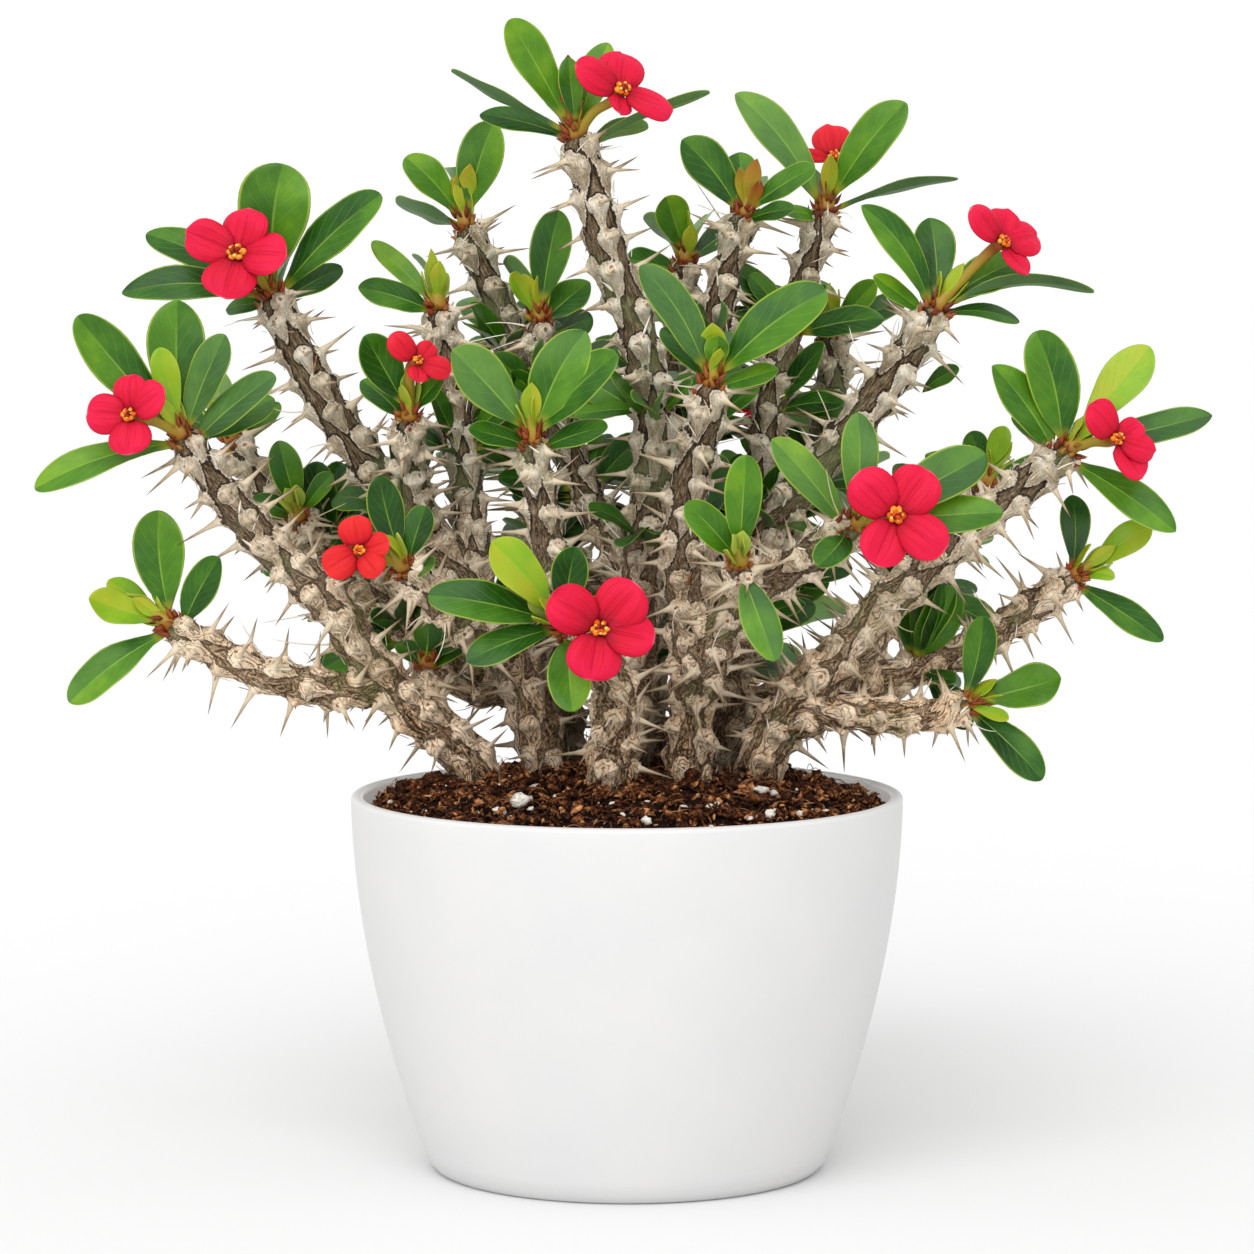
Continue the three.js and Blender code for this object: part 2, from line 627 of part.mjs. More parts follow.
// The green top of a shoot, which ends in a pointed bud.
function makeShootTop(curve, radius) {
  const tip = curve.getPoint(1);
  const axis = curve.getTangent(1);
  const base = curve.getPointAt(1 - (rosette.below - gap) / curve.getLength());
  const heights = [rosette.above, rosette.above + rosette.budLength / 3, rosette.budLength];
  const points = [base, ...heights.map((height) => tip.clone().addScaledVector(axis, height))];
  const radii = [Math.min(radius, rosette.baseRadius), rosette.topRadius, rosette.budRadius, 0];
  const along = new THREE.CatmullRomCurve3(points);
  return solidOf(sweep(along, wood.sides, [0, 1 / 3, 2 / 3, 1], (i) => Array(2).fill(radii[i]), grain));
}

// The rosette of a shoot: its green top, its leaves, and the stalk of its flower.
function makeRosette(branch) {
  const curve = curveOf(branch);
  const tip = curve.getPoint(1);
  const axis = curve.getTangent(1);
  const solids = [makeShootTop(curve, branch.radii[1])];
  for (const { offset, width, facing } of leafList(branch, axis)) {
    solids.push(makeLeaf(leafFoot(tip, axis, offset), tip.clone().add(offset), axis, width, facing));
  }
  if (branch.flower) solids.push(makeStalk(tip, axis, branch.flower));
  return join(solids);
}

// The bloom: a square heart that the stalk stands through, with a broad, slightly cupped bract on each side.
function makeBloom(branch) {
  const { at, facing: look, petal, turn } = branch.flower;
  const centre = curveOf(branch).getPoint(1).add(vec(at));
  const facing = vec(look).normalize();
  const { across, up } = frameAcross(facing, upwards);
  const [hole, heart] = [bloom.holeWidth, bloom.heartWidth].map((width) => width * Math.SQRT1_2);
  const [low, high] = [-bloom.heartHeight / 2, bloom.heartHeight / 2];
  const section = [[hole, low], [heart, low], [heart, high], [hole, high], [hole, low]];
  const ring = new THREE.LatheGeometry(section.map(([x, y]) => new THREE.Vector2(x, y)), 4);
  ring.rotateY(-radians(turn + 45));
  ring.applyMatrix4(new THREE.Matrix4().makeBasis(across, facing, up).setPosition(centre));
  const last = bloom.stations.length - 1;
  const size = (i) => (i === last ? [0, 0] : [(bloom.widths[i] * petal) / Math.sqrt(3), bloom.thickness / 1.5]);
  const bracts = [0, 1, 2, 3].map((i) => {
    const angle = radians(turn + 90 * i);
    const way = across.clone().multiplyScalar(Math.cos(angle)).addScaledVector(up, Math.sin(angle));
    const from = centre.clone().addScaledVector(way, bloom.holeWidth / 2 + gap);
    const middle = centre.clone().addScaledVector(way, petal * 0.6);
    const end = centre.clone().addScaledVector(way, petal).addScaledVector(facing, petal * bloom.cup);
    return solidOf(sweep(new THREE.QuadraticBezierCurve3(from, middle, end), 3, bloom.stations, size, facing));
  });
  return join([solidOf(ring), ...bracts]);
}

const plant = new THREE.Group();
const placed = [];

function place(name, solid, material) {
  plant.add(meshOf(name, solid, material));
  placed.push({ name, solid, box: solid.boundingBox() });
}

place("pot", makePot(), white);

for (const branch of stems.flatMap((stem) => stem.branches)) {
  place("leaves_" + branch.shoot, makeRosette(branch), green);
  if (branch.flower) place("bloom_" + branch.shoot, makeBloom(branch), red);
}

// Each stem stands in a plain hole, a gap wider and deeper than its own foot.
const holes = stems.map(({ branches: [trunk] }) => {
  const [[x, y, z], ...above] = trunk.path;
  return solidOf(plainBranch({ ...trunk, path: [[x, y, z - gap], ...above] }, gap));
});
place("soil", holes.reduce((all, hole) => all.subtract(hole), makeSoil()), earth);

// A spine is left out where it would cross another piece or another branch of its own stem.
// It is tested as a spike a little fatter than it is.
const bareBranches = stems.flatMap(({ name, branches }) =>
  branches.map((branch) => {
    const solid = solidOf(plainBranch(branch, gap));
    return { name, branch, solid, box: solid.boundingBox() };
  }),
);

function crosses(probe, { solid, box }) {
  const { min, max } = probe.boundingBox();
  const apart = [0, 1, 2].some((k) => max[k] < box.min[k] || box.max[k] < min[k]);
  return !apart && !probe.intersect(solid).isEmpty();
}

for (const { name, branches } of stems) {
  const isClear = (branch, centre, way, length) => {
    if (centre.z < soil.moundZ + wood.soilClear) return false;
    const tip = centre.clone().addScaledVector(way, length + 1);
    const probe = bar(centre, tip, spine.cushionHeight, gap);
    const wooden = bareBranches.filter((other) => other.branch !== branch);
    return ![...placed, ...wooden].some((other) => crosses(probe, other));
  };
  place(name, join(branches.map((branch) => thornyBranch(branch, isClear))), bark);
}

export default plant;
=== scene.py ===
import math
import random

import bmesh
import bpy
import numpy as np
from mathutils import Euler, Matrix, Vector, kdtree, noise
from mathutils.bvhtree import BVHTree


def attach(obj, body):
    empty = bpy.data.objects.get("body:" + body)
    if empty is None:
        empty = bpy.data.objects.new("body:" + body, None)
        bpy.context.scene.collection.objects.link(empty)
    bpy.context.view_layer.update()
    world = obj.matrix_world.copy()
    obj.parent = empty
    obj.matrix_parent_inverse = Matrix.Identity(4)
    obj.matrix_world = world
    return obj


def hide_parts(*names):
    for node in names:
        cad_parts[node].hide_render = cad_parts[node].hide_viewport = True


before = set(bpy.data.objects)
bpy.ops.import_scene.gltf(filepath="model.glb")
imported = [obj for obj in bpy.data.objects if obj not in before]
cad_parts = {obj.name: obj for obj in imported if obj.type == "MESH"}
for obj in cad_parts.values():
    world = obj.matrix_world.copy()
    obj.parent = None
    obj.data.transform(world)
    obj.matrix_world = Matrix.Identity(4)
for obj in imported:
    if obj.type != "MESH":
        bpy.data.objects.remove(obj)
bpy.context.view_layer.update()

toMetres = 0.001
seeded = random.Random(41)

# The ways that the upper faces of leaves look
front = (0, -0.8, 0.6)
sky = (0, 0.4, 0.9)
rear = (0, 0.75, 0.65)

# One branch of a stem: the name of its shoot, its radii at the foot and at the top, its path and its leaves.
# A leaf is (x, y, z, width): where its tip is from the shoot's tip, how wide it is, and maybe where it looks.
# A flower is the bloom's centre from the shoot's tip, where it looks, a bract's length and its turn.
# A whorl is a ring of leaves alike: how many, how long, how far they spread and how far the ring is turned.
def limb(shoot, radii, path, leaves=(), flower=(), whorl=()):
    return dict(shoot=shoot, radii=radii, path=path, leaves=leaves,
                flower=dict(zip(("at", "facing", "petal", "turn"), flower)),
                whorl=dict(zip(("count", "length", "spread", "turn"), whorl)))


# The woody stems, each with its main branch from below the soil to its top shoot, and side branches
plantStems = dict(
    stem_left=[
        limb("left", (10, 5.6), [(-44, 10, 104), (-47, 10, 122), (-56, 6, 138), (-74, 0, 154),
              (-86, -6, 171), (-97, -12, 187), (-116, -17, 206), (-132.5, -22, 227), (-142.5, -24, 242)],
             [(-32, -6, 37, 16), (-1, 4, 42, 19), (-6, -4, 27, 9), (15, -4, 31, 13), (31, -6, 18, 14),
              (29, 14, 10, 12), (-46, -6, -18, 13), (-12, 32, 14, 14)],
             flower=((-14.5, -14, 6), (-0.35, -0.9, 0.25), 13.5, 20)),
        limb("left_spur", (4.8, 4), [(-70, 2, 149), (-67, 5, 157), (-65, 7, 165)],
             [(0, -4, 15, 10), (10, 3, 9, 8), (-10, 10, 6, 8)]),
        limb("low_left", (7, 5.2), [(-76, -1, 157), (-97, -7, 158), (-117, -11, 163), (-134, -13, 171),
              (-148.5, -15, 180.5)],
             [(-31, -4, -26, 14), (-2, -2, 36, 17), (18, -6, 21, 12), (-24, -8, 8, 12), (-19, 4, 13, 9),
              (-14, 28, 2, 13)]),
    ],
    stem_upper_left=[
        limb("upper_left", (9.5, 5.8), [(-22, 20, 104), (-26, 21, 124), (-32, 21, 149.5), (-42, 21, 174.5),
              (-59, 21, 199.5), (-75, 20, 217.5), (-93.5, 18, 241), (-107.5, 18, 266), (-117, 18, 286.5)],
             [(5, -6, 41, 24), (37, -4, 31, 17), (23, 14, 7, 10), (-41, 6, 18, 14), (-48, -4, -1, 13),
              (-15, 8, -7, 8), (8, 34, 20, 15)],
             flower=((-9, -16, 12), (-0.25, -0.9, 0.35), 17.5, 10)),
        limb("mid_left", (6.5, 5), [(-50, 21, 187.5), (-52, 27, 213.5), (-56, 30, 240.5), (-60, 32, 262.5),
              (-62.5, 30, 282)],
             [(-26, -4, 5, 12), (-22, 6, 20, 8), (-8, 26, 14, 12)]),
        limb("small_red", (5.8, 4.6), [(-66, 18, 208), (-69.5, 6, 223), (-70.5, -5, 236),
              (-70, -10, 247.5)],
             [(-14, -8, 25, 14), (11, -6, 12, 8), (-16, 8, 10, 10)],
             flower=((3, -12, 17), (0.4, -0.8, 0.45), 10, 40)),
        limb("low_mid_left", (6.2, 4.8), [(-38, 20, 165.5), (-48, 2, 173), (-60, -17, 185.5),
              (-72, -30, 200.5)],
             [(-7, 0, 28, 12), (8, 2, 18, 10), (11, -6, 0, 8)],
             flower=((-12.5, -13, 5), (-0.1, -0.97, 0.15), 10.5, 0)),
    ],
    stem_centre=[
        limb("crown", (9.5, 6), [(-3, 15, 104), (-3, 15, 124), (0, 15, 147.5), (4, 15, 182.5), (8, 12, 222),
              (9, 10, 248), (4, 9, 271), (-6, 7, 297.5), (-12, 6, 321), (-17, 6, 337.5)],
             [(-21, -6, 36, 14), (-40, 2, 20, 11, sky), (-31, 12, 6, 9), (-2, -5, 24, 8), (11, 6, 29, 12),
              (44, 6, 13, 11, sky), (24, 18, 2, 10), (-8, 32, 14, 13)],
             flower=((15, -14, 13), (0.45, -0.75, 0.5), 15.5, 15)),
        limb("centre_left", (6.5, 5.2), [(1, 15, 156.5), (-10, 0, 168), (-19, -16, 184.5), (-25, -27, 205),
              (-28, -33, 226), (-30, -37, 241.5)],
             [(-25, -10, 27, 18), (17, -4, 33, 17), (27, -12, 26, 15), (24, -6, 3, 10), (-20, -4, 2, 9),
              (-6, 26, 14, 12)]),
        limb("behind_crown", (6, 4.8), [(4, 15, 190), (-6, 27, 205.5), (-17, 38, 225.5), (-26, 43, 252),
              (-29.5, 43, 277.5)],
             [(7, -4, 35, 14), (17, 6, 11, 13), (-9, -8, 14, 7), (-12, 20, 18, 12)]),
    ],
    stem_right_middle=[
        limb("right_middle", (9.5, 5.6), [(19, 7, 104), (20, 6, 124), (21, 2, 152), (20, -5, 179),
              (18, -12, 201), (20, -20, 225), (25, -27, 245), (27, -30, 259)],
             [(-23, -8, 36, 13), (36, -8, 28, 19), (21, -4, 3, 9), (2, -6, 14, 8), (-16, 8, 16, 10),
              (4, 28, 14, 13)]),
        limb("front_right", (8, 5.8), [(21, 2, 153), (25, -15, 166.5), (31, -29, 179.5), (42, -43, 193.5),
              (58.5, -56, 205), (72.5, -68, 216)],
             [(-28, -6, 26, 14), (-1, 4, 34, 12), (39, 2, 21, 16), (44, -2, 3, 14), (-8, 24, 10, 12),
              (-14, -22, -12, 11)],
             flower=((10, -14, 3), (0.05, -0.98, 0.15), 16.5, 45)),
        limb("front_right_spur", (4.8, 4.2), [(39, -40, 189.5), (36.5, -52, 196.5), (35, -63, 204)],
             [(2, -4, 33, 12), (-17, -6, 18, 12), (11, -8, -31, 12)]),
        limb("upper_middle", (6.5, 5.2), [(20, -1, 171), (24, 17, 200), (24, 32, 229.5), (25, 38, 246.5),
              (29, 38, 274.5), (34, 39, 295), (39, 39, 312.5)],
             [(-21, -4, 23, 15), (-2, 8, 19, 11), (23, -6, 14, 11), (4, 28, 10, 13), (16, -12, 0, 8)]),
    ],
    stem_right=[
        limb("right", (10, 5.8), [(40, 10, 104), (42, 9, 122), (46, 6, 137), (56, 0, 154), (72, -7, 172),
              (88, -11, 190), (107.5, -15, 208), (127, -17, 224), (142.5, -18, 237)],
             [(-26, -4, 26, 14), (-12, -2, 37, 17), (25, 2, 32, 15), (45, 0, 10, 11), (33, -6, -27, 13),
              (-18, 14, 9, 7), (8, 32, 6, 13)],
             flower=((13, -12, 3), (0.4, -0.85, 0.2), 13.5, 25)),
        limb("low_right", (7.2, 5.2), [(58, -1, 155), (76, 5, 157), (95, 7, 163), (115.5, 6, 172),
              (131.5, 4, 183), (147, 0, 195)],
             [(23, -4, 16, 11), (27, -4, -22, 12), (-2, 6, 25, 10), (11, -6, -1, 5), (12, 26, 2, 12)]),
        limb("lowest_right", (6.6, 5), [(50, 4, 144), (66, -7, 150), (82.5, -12, 149.5), (99.5, -12, 150),
              (112, -10, 154)],
             [(3, -2, 28, 11), (28, -6, 8, 16), (22, -6, -25, 13), (11, -8, -5, 5), (12, 24, 4, 12)]),
    ],
    stem_front=[
        limb("front", (11, 5.4), [(-6, -15, 104), (-5, -17, 120), (-5, -22, 140.5), (-3.5, -33, 158),
              (-9.5, -46, 174), (-21, -57, 184)],
             [(-41, -8, 9, 14), (-21, -10, 26, 16), (5, -4, 24, 12), (-29, -6, -12, 12), (4, -12, -27, 14)],
             flower=((12.5, -22, 0), (0.1, -0.98, 0.1), 16.5, 40)),
    ],
    stem_upper_right=[
        limb("upper_right", (9.5, 5.8), [(30, 34, 104), (31, 35, 124), (33, 34, 149.5), (37, 30, 185.5),
              (48, 24, 209.5), (64, 20, 229), (78, 16, 246.5), (91, 13, 264.5), (102, 12, 282)],
             [(-26, -6, 32, 13), (-3, 8, 28, 14), (27, 10, 14, 15), (50, -4, 4, 10, sky), (27, 12, -6, 7),
              (-22, -4, 9, 8), (2, 32, 10, 13)],
             flower=((19.5, -8, 20), (0.55, -0.7, 0.45), 13.5, 30)),
        limb("top_right", (6.5, 5), [(36, 32, 179.5), (40, 44, 205.5), (48.5, 52, 246.5), (55.5, 56, 277.5),
              (62.5, 57, 299.5), (67, 59, 314)],
             [(-31, -8, 37, 16), (26, -10, 34, 17), (44, -2, 9, 9, sky), (-14, -10, -3, 8),
              (-6, 30, 14, 13)],
             flower=((3, 12, 16), (0, -0.75, 0.65), 13, 45)),
    ],
    stem_back_left=[
        limb("top_left", (9, 5.2), [(-20, 46, 104), (-21, 48, 124), (-24, 54, 164), (-28, 61, 199),
              (-34.5, 65, 234.5), (-39.5, 65, 268.5), (-48.5, 63, 292), (-54.5, 63, 309)],
             [(-20, -4, 21, 13), (10, -4, 33, 16), (-4, 26, 18, 13, rear), (-24, 18, 6, 12, rear)]),
        limb("back_left", (6.8, 5), [(-22, 51, 153), (-53.5, 55, 153), (-80.5, 56, 177),
              (-104.5, 56, 199.5), (-122, 54, 219.5), (-133, 51, 237.5)],
             [(9, 2, 14, 8), (16, 10, 10, 9), (-8, 16, 22, 11, rear), (-22, 10, 6, 11),
              (2, 28, 6, 13, rear)]),
        limb("back_left_spur", (4.8, 4.2), [(-104.5, 56, 198.5), (-107.5, 44, 206), (-109.5, 34, 212.5)],
             [(-6, -4, 24, 11), (12, -4, 13, 8), (-16, 4, 4, 9)]),
        limb("rear_left", (6.8, 5), [(-22, 52, 147), (-42.5, 76, 154.5), (-64.5, 95, 167.5),
              (-83, 107, 185.5)],
             whorl=(6, 34, 62, 20)),
    ],
    stem_back=[
        limb("behind_middle", (9, 5.2), [(6, 44, 104), (6, 46, 124), (7, 54, 159), (10, 63, 199),
              (14, 70, 239.5), (18, 71, 274.5), (20, 70, 297)],
             [(-7, -4, 20, 13), (-20, -6, -1, 11), (8, 28, 14, 14, rear), (22, 12, 12, 11),
              (-14, 22, 12, 12, rear)]),
        limb("rear_middle", (6.8, 5.2), [(7, 56, 164), (-8, 81, 178.5), (-24.5, 105, 198.5),
              (-36.5, 122, 225)],
             flower=((4, 18, 26), (0.1, 0.75, 0.6), 14, 20),
             whorl=(6, 36, 58, 50)),
        limb("rear_low", (6.6, 5), [(6, 54, 147), (2, 83, 148.5), (-2, 112, 154), (-6, 137, 168)],
             whorl=(5, 33, 60, 10)),
    ],
    stem_back_right=[
        limb("behind_right", (9, 5.2), [(24, 63, 104), (26, 67, 124), (34.5, 73, 158.5), (46.5, 77, 194),
              (60.5, 77, 218), (69.5, 76, 246.5), (69.5, 74, 272.5)],
             [(15, -4, 16, 10), (26, 6, 10, 10), (-4, 28, 16, 13, rear), (-14, 10, 14, 10),
              (18, 22, 6, 12, rear)]),
        limb("far_right", (6.8, 5), [(30.5, 70, 140.5), (50.5, 68, 146.5), (71.5, 61, 156), (91.5, 56, 179),
              (108.5, 52, 205.5), (120.5, 51, 222.5)],
             [(-5, 2, 16, 9), (6, -4, 18, 8), (-20, 6, 8, 10), (26, 12, 4, 11), (6, 28, 6, 13, rear)]),
        limb("rear_right", (6.4, 5), [(40.5, 74, 177), (47.5, 98, 188.5), (56, 120, 202.5),
              (61, 137, 218.5)],
             flower=((-12, 16, 26), (-0.2, 0.75, 0.6), 13.5, 0),
             whorl=(6, 34, 60, 35)),
        limb("rear_right_low", (6.4, 4.8), [(27, 71, 136.5), (34.5, 98, 142), (42.5, 122, 151),
              (46.5, 142, 162.5)],
             flower=((14, 14, 20), (0.35, 0.7, 0.55), 12.5, 30),
             whorl=(5, 32, 62, 0)),
        limb("rear_far_right", (6.2, 4.8), [(52.5, 68, 147.5), (70.5, 85, 158.5), (87, 99, 174.5),
              (98, 107, 191.5)],
             whorl=(5, 34, 58, 70)),
    ],
)

allBranches = [branch for branches in plantStems.values() for branch in branches]

camera = dict(place=(0, -1.5, 0.313), tilt=84.83, lens=132.8, sensor=36)
light = dict(world=1.03, sun=1.75, sunAngle=60, sunFrom=(-0.24, -1, 0.8))
stage = dict(floorSize=14, greys=(0.735, 0.745))


def makeCamera():
    data = bpy.data.cameras.new("camera")
    data.lens = camera["lens"]
    data.sensor_width = camera["sensor"]
    data.clip_end = 60
    made = bpy.data.objects.new("camera", data)
    made.location = camera["place"]
    made.rotation_euler = (math.radians(camera["tilt"]), 0, 0)
    bpy.context.scene.collection.objects.link(made)
    bpy.context.scene.camera = made


def makeLights():
    world = bpy.data.worlds.new("studio")
    world.use_nodes = True
    background = world.node_tree.nodes["Background"]
    background.inputs["Color"].default_value = (1, 1, 1, 1)
    background.inputs["Strength"].default_value = light["world"]
    bpy.context.scene.world = world
    data = bpy.data.lights.new("key", "SUN")
    data.energy = light["sun"]
    data.angle = math.radians(light["sunAngle"])
    key = bpy.data.objects.new("key", data)
    key.location = light["sunFrom"]
    key.rotation_euler = (-key.location).to_track_quat("-Z", "Y").to_euler()
    bpy.context.scene.collection.objects.link(key)
    bpy.context.scene.view_settings.view_transform = "Standard"


class Wire:
    # A socket that can stand in an expression: each operator adds the Math node that it needs
    def __init__(self, finish, socket):
        self.finish = finish
        self.socket = socket

    def maths(self, operation, *others):
        values = dict(enumerate([self, *others]))
        return self.finish.add("ShaderNodeMath", {"operation": operation}, values)

    def __add__(self, other):
        return self.maths("ADD", other)

    def __sub__(self, other):
        return self.maths("SUBTRACT", other)

    def __rsub__(self, other):
        return self.maths("MULTIPLY_ADD", -1, other)

    def __mul__(self, other):
        return self.maths("MULTIPLY", other)

    def __abs__(self):
        return self.maths("ABSOLUTE")

    # Rises softly from 0 at low to 1 at high, or falls where low is the larger
    def rise(self, low, high):
        bounds = {"Value": self, "From Min": low, "From Max": high}
        return self.finish.add("ShaderNodeMapRange", {"interpolation_type": "SMOOTHSTEP"}, bounds)


class Finish:
    # A material under its own name, with the nodes that its look needs
    def __init__(self, name):
        self.material = bpy.data.materials.new(name)
        self.material.use_nodes = True
        self.nodes = self.material.node_tree.nodes
        self.shader = self.nodes["Principled BSDF"]

    # One node: its settings first, and then the values or wires of its sockets.
    def add(self, kind, settings=None, inputs=None, output=0):
        node = self.nodes.new(kind)
        for name, value in (settings or {}).items():
            if name == "stops":
                self.setStops(node.color_ramp, value)
            else:
                setattr(node, name, value)
        for name, value in (inputs or {}).items():
            self.feed(node.inputs[name], value)
        return Wire(self, node.outputs[output])

    def setStops(self, ramp, stops):
        while len(ramp.elements) < len(stops):
            ramp.elements.new(1)
        for element, (place, colour) in zip(ramp.elements, stops):
            element.position = place
            element.color = colour

    def feed(self, socket, value):
        if isinstance(value, Wire):
            self.material.node_tree.links.new(value.socket, socket)
        else:
            socket.default_value = value

    def set(self, **inputs):
        for name, value in inputs.items():
            self.feed(self.shader.inputs[socketNames.get(name, name)], value)

    def place(self):
        return self.add("ShaderNodeTexCoord", output="Object")

    def mark(self, name):
        return self.add("ShaderNodeAttribute", {"attribute_name": name}, output="Vector")

    def parts(self, vector):
        whole = self.add("ShaderNodeSeparateXYZ", {}, {"Vector": vector})
        return [Wire(self, socket) for socket in whole.socket.node.outputs]

    def stretched(self, vector, scale):
        return self.add("ShaderNodeVectorMath", {"operation": "MULTIPLY"}, {0: vector, 1: scale})

    def grain(self, vector, scale, detail=3, rough=0.55, warp=0):
        values = {"Vector": vector, "Scale": scale, "Detail": detail, "Roughness": rough, "Distortion": warp}
        return self.add("ShaderNodeTexNoise", {}, values)

    # Each stop is its place and the red, green and blue of its colour as they show on a screen
    def ramp(self, value, *stops):
        painted = [(place, paint(*colour)) for place, *colour in stops]
        return self.add("ShaderNodeValToRGB", {"stops": painted}, {"Fac": value})

    def blend(self, share, first, second):
        values = {0: share, 6: first, 7: second}  # the node's sockets for colours
        return self.add("ShaderNodeMix", {"data_type": "RGBA"}, values, output=2)

    def bump(self, height, strength, distance):
        values = {"Height": height, "Strength": strength, "Distance": distance}
        self.set(Normal=self.add("ShaderNodeBump", {}, values))


socketNames = dict(Colour="Base Color", Specular="Specular IOR Level", Glow="Emission Color",
                   Light="Emission Strength")


# A colour from its red, green and blue as they show on a screen, 0 to 255.
def paint(red, green, blue):
    return (*[(part / 255) ** 2.2 for part in (red, green, blue)], 1)


# Pieces are joined up from sleeves: a grid rolled round a line, with its seam and both ends closed.
skinMarks = ("skinMap", "skinTint", "skinFold")


def newShape():
    shape = bmesh.new()
    for name in skinMarks:
        shape.verts.layers.float_vector.new(name)
    return shape


def writeMarks(shape, verts, *marks):
    for name, rows in zip(skinMarks, marks):
        layer = shape.verts.layers.float_vector[name]
        for vert, row in zip(verts, rows.tolist()):
            vert[layer] = row


# makeRound(share, turn) gives the places of points by their share of the length and their turn round it,
# and their marks.
def addSleeve(shape, around, steps, makeRound):
    verts = bmesh.ops.create_grid(shape, x_segments=around, y_segments=steps, size=0.5)["verts"]
    cells = np.array([vert.co[:2] for vert in verts]) + 0.5
    order = np.lexsort((cells[:, 0], cells[:, 1])).reshape(steps + 1, around + 1)
    places, *marks = makeRound(cells[:, 1], cells[:, 0] * 2 * math.pi)
    for row in (order[0], order[-1]):
        places[row] = places[row[:-1]].mean(axis=0)
    for vert, place in zip(verts, places.tolist()):
        vert.co = place
    writeMarks(shape, verts, *marks)
    joined = {verts[row[-1]]: verts[row[0]] for row in order[1:-1]}
    for row in (order[0], order[-1]):
        joined.update({verts[i]: verts[row[0]] for i in row[1:]})
    bmesh.ops.weld_verts(shape, targetmap=joined)


def spread(count, *values):
    return np.column_stack([np.broadcast_to(value, count) for value in values])


# The same marks on each of some vertices
def markAll(shape, verts, first, second=(0, 0, 0)):
    writeMarks(shape, verts, spread(len(verts), *first), spread(len(verts), *second))


# A profile of (radius, height) turned round the planter's axis
def spinProfile(shape, profile, around):
    verts = [shape.verts.new((radius, 0, z)) for radius, z in profile]
    edges = [shape.edges.new(pair) for pair in zip(verts, verts[1:])]
    bmesh.ops.spin(shape, geom=[*verts, *edges], cent=(0, 0, 0), axis=(0, 0, 1), angle=2 * math.pi,
                   steps=around, use_merge=True)
    bmesh.ops.remove_doubles(shape, verts=shape.verts, dist=0.001)


def newObject(name, shape):
    mesh = bpy.data.meshes.new(name)
    shape.to_mesh(mesh)
    shape.free()
    made = bpy.data.objects.new(name, mesh)
    bpy.context.scene.collection.objects.link(made)
    return made


def finishPiece(name, shape, finish, slot, *nodes):
    bmesh.ops.scale(shape, vec=(toMetres,) * 3, verts=shape.verts)
    bmesh.ops.recalc_face_normals(shape, faces=shape.faces)
    piece = newObject(name, shape)
    piece.data.shade_smooth()
    piece.data.materials.append(finish.material)
    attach(piece, "root")
    if nodes:
        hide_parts(*nodes)
    return piece


def unitRows(rows):
    return rows / np.linalg.norm(rows, axis=-1, keepdims=True)


# Two directions square to a line's own: up is the nearest to the wanted one.
def frameAcross(along, wanted):
    wanted = np.asarray(wanted, float)
    up = unitRows(wanted - along * (along @ wanted)[..., None])
    return np.cross(along, up), up


class Route:
    # A smooth line through its corners, read by the distance from its start.
    def __init__(self, corners, perSpan=40):
        corners = np.array(corners, float)
        last = len(corners) - 1
        padded = np.vstack([2 * corners[0] - corners[1], corners, 2 * corners[-1] - corners[-2]])
        steps = np.linspace(0, last, last * perSpan + 1)
        span = np.minimum(steps.astype(int), last - 1)
        t = (steps - span)[:, None]
        a, b, c, d = (padded[span + k] for k in range(4))
        self.places = b + 0.5 * t * (c - a + t * (2 * a - 5 * b + 4 * c - d + t * (3 * (b - c) + d - a)))
        gaps = np.linalg.norm(np.diff(self.places, axis=0), axis=1)
        self.distances = np.concatenate([[0], np.cumsum(gaps)])
        self.length = self.distances[-1]

    def at(self, distance):
        return np.stack([np.interp(distance, self.distances, self.places[:, k]) for k in range(3)], axis=-1)

    def along(self, distance):
        near = np.clip(distance, 0.05, self.length - 0.05)
        return unitRows(self.at(near + 0.05) - self.at(near - 0.05))


def ringWay(across, up, turn):
    return across * np.sin(turn)[..., None] + up * np.cos(turn)[..., None]


def radial(along, turn):
    return ringWay(*frameAcross(along, grainWay), turn)


grainWay = (0.9, 0.35, 0.2)  # a stem's turns are counted from this side
rosette = dict(below=8, above=3, budLength=14, topRadius=2.4, buds=4, scales=16, flares=(0.8, 2.6),
               stipuleReach=(2, 5), stipuleRadii=(0.7, 1.2), stipuleReds=(0.6, 1),
               scaleLows=(-6, 0.5), scaleReach=(1.5, 4), scaleRadii=(0.6, 1.3), scaleReds=(0.45, 1))

planter = dict(height=123, rim=90, base=64.5, bulge=1.83, wall=4, floor=6, corner=3, lip=1.6,
               drainHoles=4, drainRadius=4, drainCircle=34, drainTurn=0.04, drainAround=32, around=160,
               sideSteps=26)


def outerRadius(z):
    p = planter
    return p["rim"] - (p["rim"] - p["base"]) * (1 - z / p["height"]) ** p["bulge"]


